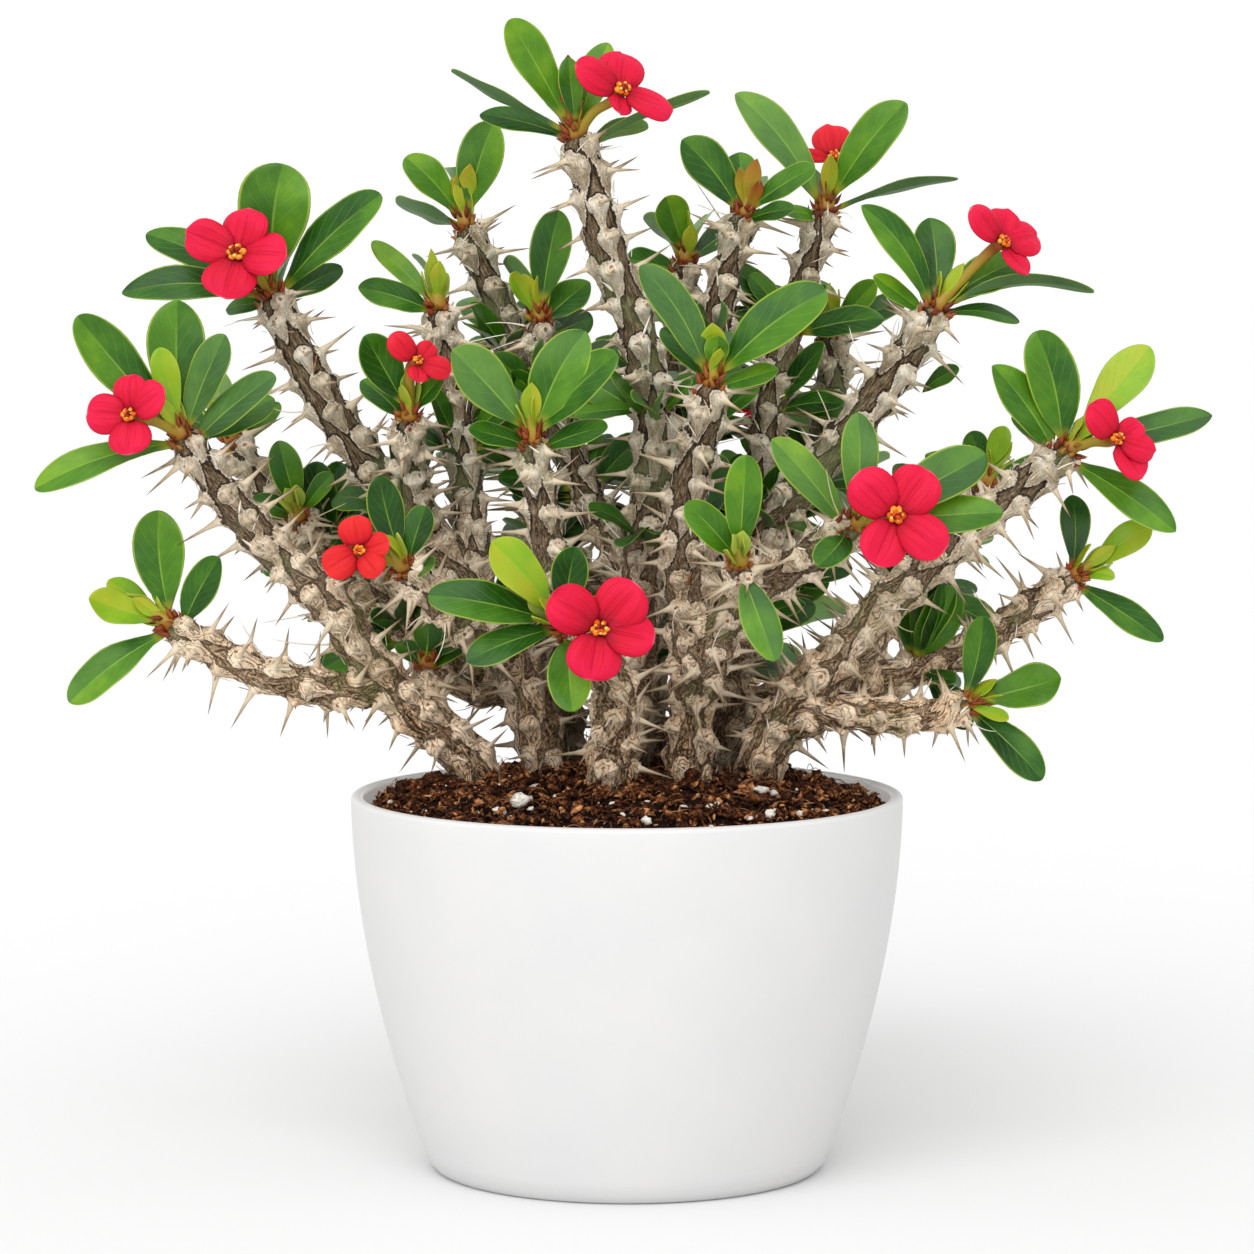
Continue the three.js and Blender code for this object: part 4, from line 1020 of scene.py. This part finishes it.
def thornFinish():
    finish = Finish("greyThorn")
    share, tone, _ = finish.parts(finish.mark("skinMap"))
    grain = finish.grain(finish.place(), 500, 3)
    value = share * 0.85 + grain * 0.3 + tone * 0.1 - 0.1
    colour = finish.ramp(value, (0.1, 226, 212, 188), (0.4, 202, 184, 156),
                         (0.72, 146, 125, 99), (1, 88, 69, 52))
    dry = finish.ramp(tone - 1 + grain * 0.4, (0.4, 136, 84, 50), (0.55, 212, 194, 164),
                      (0.9, 242, 234, 218))
    colour = finish.blend(tone.rise(1.05, 1.15), colour, dry)
    # Painted shade on the thorns in the heart of the plant.
    colour = finish.blend(heartShade(finish) * 0.55, colour, paint(52, 38, 26))
    finish.set(Colour=colour, Roughness=grain * 0.2 + 0.52, Specular=0.3)
    finish.bump(grain, 0.3, 0.0003)
    return finish


foliage = dict(around=20, steps=16, lift=0.1, petiole=0.1, petioleHalf=1.5, petioleThick=0.95, bladeThick=0.3,
               fold=0.2, wave=0.035, widthShare=0.44, rearFrom=15, fullness=(0.5, 0.75),
               roundness=(0.5, 0.66), waves=(1.2, 2.2), tilts=(-0.15, 0.15), arches=(-0.05, 0.09),
               ages=(0.08, 0.42), sheen=(0.3, 0.55), coarseAround=12, coarseSteps=10)
# Leaves by their place in a shoot's list: yellow-green ones, dark ones, pale ones and fresh green ones
limeLeaves = dict(left=[2], low_left=[3, 4], behind_crown=[2], right=[2], low_right=[0, 3], lowest_right=[3],
                  front=[1], far_right=[1])
darkLeaves = dict(low_mid_left=[0, 1], front=[2], low_right=[2], crown=[2], right_middle=[4])
paleLeaves = dict(crown=[0, 4], mid_left=[1])
freshLeaves = dict(upper_left=[0], right_middle=[1], right=[0, 1], centre_left=[0, 1], low_left=[1], left=[1],
                   top_right=[0, 1])
leafAges = ((limeLeaves, (0.62, 0.82)), (darkLeaves, (0, 0.1)), (paleLeaves, (0.42, 0.55)),
            (freshLeaves, (0.28, 0.38)))
# Leaves with a painted pale sheen, blended into their colour
paintedSheenLeaves = dict(front_right=[0, 1], centre_left=[0], top_right=[0, 2], right_middle=[0],
                   left=[3, 4])
redBuds = ("crown", "upper_middle", "top_right")
# Larger buds: where the tip is from the shoot's tip, the width and how red it is
bigBuds = dict(crown=[((-2, -5, 25), 7.5, 0.75)], top_right=[((1, -6, 17), 6, 0.3)],
               top_left=[((2, -5, 19), 6.5, 0.3), ((-3, -3, 15), 5, 0.4)],
               upper_middle=[((4, -5, 17), 6, 0.6), ((-2, -5, 14), 5, 0.5)],
               right_middle=[((0, -6, 18), 9, 0.1), ((4, -3, 14), 5, 0.4)],
               centre_left=[((0, -6, 17), 6.5, 0.1)], behind_right=[((0, -4, 13), 5.5, 0.3)],
               mid_left=[((1, -5, 14), 5.5, 0.25), ((-2, -4, 18), 4, 0.2)],
               behind_crown=[((-5, -4, 14), 6, 0.15)])


# A blade's half width by its share of the length: full is small for a broad base, and sharp is large for
# a pointed end.
def bladeWidth(t, full, sharp):
    s = np.clip((t - foliage["petiole"]) / (1 - foliage["petiole"]), 0, 1)
    widest = (full / (full + 2.2 * sharp)) ** (1 / 2.2)
    return s ** full * (1 - s ** 2.2) ** sharp / (widest ** full * (1 - widest ** 2.2) ** sharp)


def addLeaf(shape, foot, tip, axis, width, facing, age, blush, pointed=False, coarse=False, paintedSheen=0):
    f = foliage
    span = tip - foot
    size = np.linalg.norm(span)
    middle = foot + span * 0.45 + axis * size * f["lift"]
    full, sharp = 0.75, 1.0
    if not pointed:
        full, sharp = seeded.uniform(*f["fullness"]), seeded.uniform(*f["roundness"])
    seed = seeded.random()
    waves = seeded.uniform(*f["waves"])
    shift = seeded.uniform(0, 6.28)
    tilt = seeded.uniform(*f["tilts"])
    arch = seeded.uniform(*f["arches"]) * size

    def blade(share, turn):
        t = np.sin(share * math.pi / 2)[:, None]
        line = foot * (1 - t) ** 2 + middle * 2 * t * (1 - t) + tip * t * t
        along = unitRows((middle - foot) * (1 - t) + (tip - middle) * t)
        across, up = frameAcross(along, facing)
        t = t[:, 0]
        side, rise = np.cos(turn), np.sin(turn)
        petiole = f["petioleHalf"] * (1 - t) ** 0.3 * (t < 0.5)
        half = np.maximum(width / 2 * bladeWidth(t, full, sharp), petiole)
        half = half * (share < 1)
        flat = np.clip(t / 0.2, 0, 1) ** 0.7
        thick = f["petioleThick"] * (1 - flat) + f["bladeThick"] * flat
        keel = 0.55 * np.exp(-((side * half / 0.8) ** 2)) * (1 - t) * (rise < 0)
        bend = (np.abs(side) - 0.4) * half * f["fold"] * flat * (1 - 0.5 * t)
        ripple = f["wave"] * width * np.sin(t * waves * 6.28 + shift + (side > 0) * 2) * side ** 2 * flat
        height = rise * (thick + keel) + bend + ripple + tilt * side * half + arch * np.sin(t * math.pi)
        places = line + across * (side * half)[:, None] + up * height[:, None]
        # Undersides are paler; listed leaves also get a painted sheen that pales their upper face.
        paleUndersideAndSheen = np.maximum(np.clip(0.5 - rise * 6, 0, 1), paintedSheen * flat)
        red = np.exp(-((t / 0.09) ** 2)) * 0.5 + blush * (0.4 + 0.6 * t)
        skin = np.column_stack([side, t, np.full(len(t), seed)])
        return places, skin, spread(len(t), age, paleUndersideAndSheen, np.minimum(red, 1))

    fineness = (f["coarseAround"], f["coarseSteps"]) if coarse else (f["around"], f["steps"])
    addSleeve(shape, *fineness, blade)


def addSpike(shape, foot, tip, radius, age, blush):
    along = unitRows(tip - foot)
    across, up = frameAcross(along, (0.3, 0.2, 0.93))

    def spike(share, turn):
        wide = radius * (1 - share ** 1.6) * (0.75 + 0.5 * np.sin(share * math.pi))
        places = foot + (tip - foot) * share[:, None] + ringWay(across, up, turn) * wide[:, None]
        return places, spread(len(share), 0, 0.2, 0.5), spread(len(share), age, 0, blush)

    addSleeve(shape, 4, 4, spike)


# A round bar along a route, with its radius at each share of its length
def addBar(shape, route, radii, around, steps, age, blush):
    def rod(share, turn):
        along = route.along(share * route.length)
        across, up = frameAcross(along, grainWay)
        wide = np.interp(share, np.linspace(0, 1, len(radii)), radii)
        places = route.at(share * route.length) + ringWay(across, up, turn) * wide[:, None]
        red = np.interp(share, np.linspace(0, 1, len(blush)), blush)
        return places, spread(len(share), 0, 0.1, 0.5), spread(len(share), age, 0, red)

    addSleeve(shape, around, steps, rod)


def whorlLeaves(whorl, axis):
    across, up = frameAcross(axis, (0, 0, 1))
    for i in range(whorl["count"] if whorl else 0):
        angle = math.radians(whorl["turn"]) + i * 2 * math.pi / whorl["count"]
        tilt = math.radians(whorl["spread"] + 8 * math.sin(i * 2.1))
        size = whorl["length"] * (1 + 0.1 * math.cos(i * 1.3))
        out = across * math.cos(angle) + up * math.sin(angle)
        offset = size * (axis * math.cos(tilt) + math.sin(tilt) * out)
        yield offset, size * foliage["widthShare"], axis + np.array([0, 0, 0.4])


def listedLeaves(branch):
    for x, y, z, width, *facing in branch["leaves"]:
        wanted = facing[0] if facing else (rear if y > foliage["rearFrom"] else front)
        yield np.array([x, y, z], float), width, np.array(wanted, float)


# How young a leaf is, from 0 for the darkest green to 1 for yellow
def leafAge(shoot, i):
    for leaves, ages in leafAges:
        if i in leaves.get(shoot, []):
            return seeded.uniform(*ages)
    return seeded.uniform(*foliage["ages"])


def makeShoot(branch, look):
    shoot = branch["shoot"]
    shape = newShape()
    route = Route(branch["path"])
    tip, axis = route.at(route.length), route.along(route.length)
    r = rosette
    core = Route([route.at(route.length - 3), tip, tip + axis * r["above"], tip + axis * (r["above"] + 4.7)])
    addBar(shape, core, (3, 3, 2.6, 2, 1.2, 0.5), 10, 10, 0.6, (0.7, 0.4, 0.3, 0.2))
    across, up = frameAcross(axis, (0, 0, 1))
    leaves = [*listedLeaves(branch), *whorlLeaves(branch["whorl"], axis)]
    for i, (offset, width, facing) in enumerate(leaves):
        upright = max(0, float(unitRows(offset) @ axis))
        out = unitRows(offset - axis * (offset @ axis))
        high = 2.2 - r["below"] + upright * (r["below"] + 0.5)
        foot = tip + axis * high + out * r["topRadius"] * 0.6
        # Listed leaves get a painted sheen in their colour.
        paintedSheen = seeded.uniform(*foliage["sheen"]) if i in paintedSheenLeaves.get(shoot, []) else 0
        addLeaf(shape, foot, tip + offset, axis, width, facing, leafAge(shoot, i), 0, paintedSheen=paintedSheen)
        edge = float(radiusAt(branch, route, route.length + min(high, 0))) - 0.4
        for sideways in (-1, 1):
            beside = (tip + axis * (high + 0.5) + np.cross(axis, out) * sideways * 2.1
                      + out * (edge - 1.3 * upright))
            point = beside + axis * seeded.uniform(*r["stipuleReach"]) + out * seeded.uniform(*r["flares"])
            addSpike(shape, beside - axis * 1.5 - out, point, seeded.uniform(*r["stipuleRadii"]), 0.3,
                     seeded.uniform(*r["stipuleReds"]))
    for i in range(r["scales"]):
        angle = i * 2.4 + seeded.uniform(-0.3, 0.3)
        out = across * math.cos(angle) + up * math.sin(angle)
        low = seeded.uniform(*r["scaleLows"])
        beside = tip + axis * low + out * (float(radiusAt(branch, route, route.length + low)) - 0.5)
        point = beside + axis * seeded.uniform(*r["scaleReach"]) + out * seeded.uniform(*r["flares"])
        addSpike(shape, beside - out, point, seeded.uniform(*r["scaleRadii"]), 0.4,
                 seeded.uniform(*r["scaleReds"]))
    reddish = 0.75 if shoot in redBuds else 0.15
    for i in range(r["buds"]):
        angle = seeded.uniform(0, 1) + i * 2.4
        out = across * math.cos(angle) + up * math.sin(angle)
        high = r["budLength"] * (1.1 - 0.15 * i)
        foot, point = tip + axis * (0.5 - i * 0.8) + out * 0.9, tip + axis * high + out * (0.8 + 1.6 * i)
        addLeaf(shape, foot, point, axis, 4.6 + 0.4 * i, out + axis * 0.2, 0.84,
                reddish * seeded.uniform(0.6, 1.2), pointed=True)
    for offset, width, red in bigBuds.get(shoot, ()):
        offset = np.array(offset, float)
        addLeaf(shape, tip + offset * 0.05, tip + offset, axis, width, np.array(front), 0.8, red,
                pointed=True)
    if branch["flower"]:
        addStalk(shape, tip, axis, branch["flower"])
    return finishPiece("leaves_" + shoot, shape, look, "leaf", "leaves_" + shoot)


# Small leafy side shoots on the inner stems, by where along their branch they stand
sprouts = dict(
    places=dict(behind_middle=(0.3, 0.45, 0.6, 0.78), top_left=(0.3, 0.45, 0.6, 0.78), crown=(0.42, 0.6),
                behind_right=(0.3, 0.5, 0.7), top_right=(0.25, 0.5, 0.7), upper_middle=(0.3, 0.5, 0.7),
                behind_crown=(0.4, 0.7), upper_right=(0.35, 0.55), upper_left=(0.35, 0.6),
                mid_left=(0.5,), back_left=(0.4, 0.65), far_right=(0.65,), low_right=(0.4,)),
    tries=15, lengths=(16, 30), backwards=0.35, drifts=(-2.5, 2.5), widthShares=(0.4, 0.5), ages=(0, 0.3),
    single=(((50, 128, 168), (60, 118, 189)), ((50, 128, 168), (71, 121, 183)),
            ((52, 130, 166), (46, 116, 188)), ((98, 38, 252), (110, 32, 260))))


def makeSprouts(look, isClear):
    shape = newShape()
    for branch in allBranches:
        route = Route(branch["path"])
        for share in sprouts["places"].get(branch["shoot"], ()):
            at = share * route.length
            along = route.along(at)
            for _ in range(sprouts["tries"]):
                out = radial(along, np.array(seeded.uniform(0, 2 * math.pi)))
                way = unitRows(out + along * seeded.uniform(0, 1) + np.array([0, sprouts["backwards"], 0]))
                length = seeded.uniform(*sprouts["lengths"])
                start = route.at(at + seeded.uniform(*sprouts["drifts"]))
                foot = start + out * radiusAt(branch, route, at) * 0.7
                if isClear(foot, way, length * 1.1):
                    facing = np.array([seeded.uniform(-0.5, 0.5), -0.6, 0.6])
                    width = length * seeded.uniform(*sprouts["widthShares"])
                    addLeaf(shape, foot, foot + way * length, along, width, facing,
                            seeded.uniform(*sprouts["ages"]), 0, coarse=True)
    for foot, tip in sprouts["single"]:
        foot, tip = np.array(foot, float), np.array(tip, float)
        size = np.linalg.norm(tip - foot)
        addLeaf(shape, foot, tip, np.array([0, 0, 1.0]), size * 0.5, np.array(front), 0.2, 0, coarse=True)
    return finishPiece("inner_sprouts", shape, look, "leaf")


stalk = dict(neck=6, foot=2, lift=2)


def addStalk(shape, tip, axis, flower):
    facing = unitRows(np.array(flower["facing"], float))
    centre = tip + np.array(flower["at"], float)
    start = tip - axis * stalk["foot"]
    rise = (start + centre - facing * stalk["neck"]) / 2 + axis * stalk["lift"]
    route = Route([start, rise, centre - facing * stalk["neck"], centre + facing * 1.2])
    addBar(shape, route, (1.8, 1.6, 1.6, 1.7, 1.9, 2.3), 8, 16, 0.62, (0.5, 0.3, 0.4, 0.75))


def leafFinish():
    finish = Finish("leafGreen")
    side, share, seed = finish.parts(finish.mark("skinMap"))
    age, paleUndersideAndSheen, blush = finish.parts(finish.mark("skinTint"))
    place = finish.place()
    clouds = finish.grain(place, 90, 3)
    fine = finish.grain(place, 900, 3)
    off = abs(side)
    # Painted light and shade: one side of the midrib is lighter than the other, by the leaf's seed, as a
    # folded leaf's two sides catch the light differently.
    foldHalvesShade = (side.rise(-0.04, 0.04) - 0.5) * (seed.rise(0.35, 0.65) - 0.5)
    value = age + clouds * 0.5 - 0.25 + foldHalvesShade * 0.3 + share * 0.12
    green = finish.ramp(value, (0, 18, 50, 12), (0.25, 42, 86, 18), (0.5, 76, 122, 24),
                        (0.75, 124, 164, 30), (1, 160, 168, 38))
    # The pale colour of leaf backs, also used for the painted sheen of listed leaves.
    pale = finish.ramp(value, (0, 74, 108, 66), (0.5, 114, 150, 84), (1, 166, 184, 76))
    green = finish.blend(paleUndersideAndSheen * 0.8, green, pale)
    wander = clouds * 0.7 + seed * 3
    lines = ((share * 7 - off * 2.6 + wander).maths("PINGPONG", 0.5) * 2).rise(0.93, 1)
    veins = lines * off.rise(1, 0.6) * off.rise(0.02, 0.1) * share.rise(0.98, 0.85)
    green = finish.blend(veins * 0.42, green, paint(124, 166, 70))
    midrib = off.rise(0.055, 0.015) * share.rise(1.05, 0.3)
    green = finish.blend(midrib * 0.6, green, paint(144, 180, 66))
    rim = off.rise(0.9, 0.97) * share.rise(0.15, 0.35)
    green = finish.blend(rim * 0.75, green, paint(156, 178, 58))
    stem = share.rise(0.2, 0.08)
    green = finish.blend(stem, green, paint(138, 148, 44))
    redness = finish.ramp(blush, (0.2, 186, 100, 44), (0.6, 150, 66, 34),
                          (1, 104, 48, 28))
    colour = finish.blend(blush.rise(0, 0.8), green, redness)
    finish.set(Colour=colour, Roughness=clouds * 0.2 + paleUndersideAndSheen * 0.15 + 0.25, Specular=0.27)
    finish.bump(fine * 0.25 + clouds * 0.5 - veins * 0.5 - midrib * 0.8, 0.35, 0.0005)
    return finish


bloom = dict(around=22, steps=12, cup=0.16, thick=0.3, tilt=0.14, wave=0.05, glands=6, stamens=6, specks=5,
             layer=0.35)
# Blooms that are more orange than the rest
warmBlooms = dict(low_mid_left=1, small_red=0.5, top_right=0.7)
# The lobes of a bloom's bracts: each one's angle, its length and its width against that length
bloomLobes = dict(
    upper_left=((160, 19.4, 0.72), (80, 15.5, 1.12), (-3, 17.5, 0.9), (-100, 15.8, 1.18)),
    left=((180, 14.8, 0.9), (97, 13, 1), (36, 14.4, 0.9), (-84, 13, 1.12)),
    small_red=((132, 12, 0.8), (42, 9, 0.8), (-22, 11.5, 0.85), (-95, 7.5, 1.1)),
    low_mid_left=((102, 11, 1.05), (17, 10, 0.85), (-48, 10.5, 0.9), (-148, 12.8, 0.88)),
    front=((146, 18.4, 0.86), (48, 18, 0.95), (-12, 17.4, 0.8), (-101, 16.4, 1.1)),
    front_right=((135, 17.8, 0.88), (54, 17.4, 0.95), (-37, 18.6, 0.8), (-114, 16.6, 0.92)),
    right=((128, 14.5, 0.85), (24, 11, 0.8), (-20, 14, 0.75), (-58, 15.2, 0.8)),
    upper_right=((130, 15.6, 0.75), (62, 13.5, 0.9), (6, 15.4, 0.9), (-62, 13.5, 0.8)),
    crown=((150, 17.5, 0.75), (72, 14.6, 1.1), (-30, 18.2, 0.74), (-108, 9, 1)),
    top_right=((96, 14, 0.95), (172, 13, 0.42), (4, 14, 0.45)))


def bractWidth(t):
    return t ** 0.38 * np.sqrt(1 - t ** 2.6) / 0.716


def addBract(shape, centre, facing, way, petal, breadth, warm):
    b = bloom
    across = np.cross(way, facing)
    shift = seeded.uniform(0, 6.28)
    seed = seeded.random()

    def blade(share, turn):
        t = np.sin(share * math.pi / 2)
        side, rise = np.cos(turn), np.sin(turn)
        half = petal / 2 * breadth * bractWidth(t) * (share < 1)
        half = np.maximum(half, 0.9 * (share < 0.2))
        reach = 1.0 + (petal - 1.0) * t
        dish = petal * (b["cup"] * t ** 1.6 - 0.09 * t ** 6) - 0.3
        puff = 0.2 * half * (1 - (2 * np.abs(side) - 1) ** 2) * (1 - t ** 4)
        ripple = b["wave"] * petal * np.sin(side * 2.6 + t * 4 + shift) * t
        height = dish + b["tilt"] * side * half + ripple + rise * b["thick"] + puff
        places = centre + way * reach[:, None] + across * (side * half)[:, None] + facing * height[:, None]
        return places, np.column_stack([side, t, np.full(len(t), seed)]), spread(len(t), 0, 0, warm)

    addSleeve(shape, b["around"], b["steps"], blade)


def addBead(shape, spot, size, stretch, kind, tone):
    made = bmesh.ops.create_icosphere(shape, subdivisions=2, radius=size)["verts"]
    bmesh.ops.transform(shape, matrix=Matrix.Translation(Vector(spot)) @ stretch, verts=made)
    markAll(shape, made, (0, 0, 0), (kind, tone, 0))


def makeBloom(branch, look):
    shape = newShape()
    flower = branch["flower"]
    route = Route(branch["path"])
    centre = route.at(route.length) + np.array(flower["at"], float)
    facing = unitRows(np.array(flower["facing"], float))
    across, up = frameAcross(facing, (0, 0, 1))
    petal = flower["petal"]
    plain = [(flower["turn"] + 90 * i, petal, 1.1) for i in range(4)]
    for i, (angle, reach, breadth) in enumerate(bloomLobes.get(branch["shoot"], plain)):
        way = up * math.sin(math.radians(angle)) - across * math.cos(math.radians(angle))
        lift = facing * bloom["layer"] * (-1) ** i
        addBract(shape, centre + lift, facing, way, reach, breadth, warmBlooms.get(branch["shoot"], 0))
    heart = petal / 16
    rings = ((bloom["glands"], 1.7, 1.4, 1.05, (0.35, 0.8)), (bloom["stamens"], 0.8, 2.5, 0.75, (0, 0.45)),
             (bloom["specks"], 1.5, 2.6, 0.5, (0.7, 1)))
    for ring, (count, radius, high, size, tones) in enumerate(rings):
        for i in range(count):
            angle = i * 2 * math.pi / count + ring + seeded.uniform(-0.2, 0.2)
            out = across * math.cos(angle) * 1.15 + up * math.sin(angle)
            spot = centre + (out * radius + facing * (high + seeded.uniform(-0.3, 0.5))) * heart
            sizes = [seeded.uniform(0.8, most) for most in (1.3, 1.2, 1.2)]
            squeeze = Matrix.Diagonal((*sizes, 1))
            addBead(shape, spot, size * heart * seeded.uniform(0.8, 1.15), squeeze, 1, seeded.uniform(*tones))
    addBead(shape, centre + facing * 0.8 * heart, 1.8 * heart, Matrix.Identity(4), 1, 0)
    return finishPiece("bloom_" + branch["shoot"], shape, look, "bract", "bloom_" + branch["shoot"])


def bractFinish():
    finish = Finish("redBract")
    side, share, seed = finish.parts(finish.mark("skinMap"))
    kind, tone, warm = finish.parts(finish.mark("skinTint"))
    place = finish.place()
    clouds = finish.grain(place, 130, 3)
    fine = finish.grain(place, 1500, 2)
    streaks = finish.grain(finish.stretched(finish.mark("skinMap"), (5, 1.2, 30)), 1.6, 4, 0.6)
    # The red grows lighter along the lobe, so it is darker near the bloom's centre: partly painted shade.
    value = clouds * 0.3 + share * 0.5 + streaks * 0.45 + seed * 0.15 - 0.18
    red = finish.ramp(value, (0.1, 140, 2, 30), (0.4, 196, 8, 47), (0.95, 222, 28, 72))
    orange = finish.ramp(value, (0.1, 150, 10, 20), (0.4, 200, 26, 34),
                         (0.95, 220, 50, 48))
    red = finish.blend(warm, red, orange)
    lines = ((side * 2.5 + clouds * 0.5).maths("PINGPONG", 0.5) * 2).rise(0.92, 1) * share.rise(1, 0.5)
    # Painted shade: the crease down the middle of each lobe is darkened, along with the lobe's own darker
    # veins.
    crease = abs(side).rise(0.09, 0.02) * share.rise(1, 0.7)
    red = finish.blend((lines * 0.16).maths("MAXIMUM", crease * 0.1), red, paint(120, 0, 24))
    # Painted shade: a deeper red near the bloom's centre.
    red = finish.blend(share.rise(0.35, 0.05) * 0.35, red, paint(112, 0, 24))
    # Painted highlight: a lighter pink band along each lobe's outer rim, where the raised edge catches the
    # light.
    red = finish.blend(share.rise(0.955, 0.99) * 0.45, red, paint(248, 120, 136))
    yellow = finish.ramp(tone + fine * 0.3 - 0.15, (0.05, 104, 10, 14), (0.3, 186, 56, 18),
                         (0.6, 224, 124, 30), (0.95, 242, 190, 84))
    colour = finish.blend(kind, red, yellow)
    finish.set(Colour=colour, Roughness=(1 - kind) * 0.2 + clouds * 0.15 + 0.3, Specular=0.2)
    finish.bump(fine * 0.25 - lines * 0.6 - crease * 0.8 + clouds * 0.7 + streaks * 0.8, 0.5, 0.0008)
    return finish


def floorFinish():
    finish = Finish("studioFloor")
    cloth = finish.grain(finish.place(), 3, 2)
    stops = [(place, (grey, grey, grey, 1)) for place, grey in enumerate(stage["greys"])]
    colour = finish.add("ShaderNodeValToRGB", {"stops": stops}, {"Fac": cloth})
    finish.set(Colour=colour, Roughness=0.9, Specular=0.1)
    return finish


def makeFloor():
    shape = bmesh.new()
    bmesh.ops.create_circle(shape, cap_ends=True, segments=96, radius=stage["floorSize"])
    floor = newObject("floor", shape)
    floor.data.materials.append(floorFinish().material)


makeCamera()
makeLights()
makeFloor()
print("camera, lights and floor are in place")
makePlanter()
makeSoilBed()
makeCrumbs()
makeFibres()
makePerlite()
print("planter and soil are made")
seeded.seed(41)
isClear = clearanceTest()
barkLook, thornLook = barkFinish(), thornFinish()
for name, branches in plantStems.items():
    makeStem(name, branches, barkLook, thornLook, isClear)
print("stems are made")
seeded.seed(42)
leafLook, bractLook = leafFinish(), bractFinish()
for branch in allBranches:
    makeShoot(branch, leafLook)
    if branch["flower"]:
        makeBloom(branch, bractLook)
makeSprouts(leafLook, isClear)
print("leaves and blooms are made")
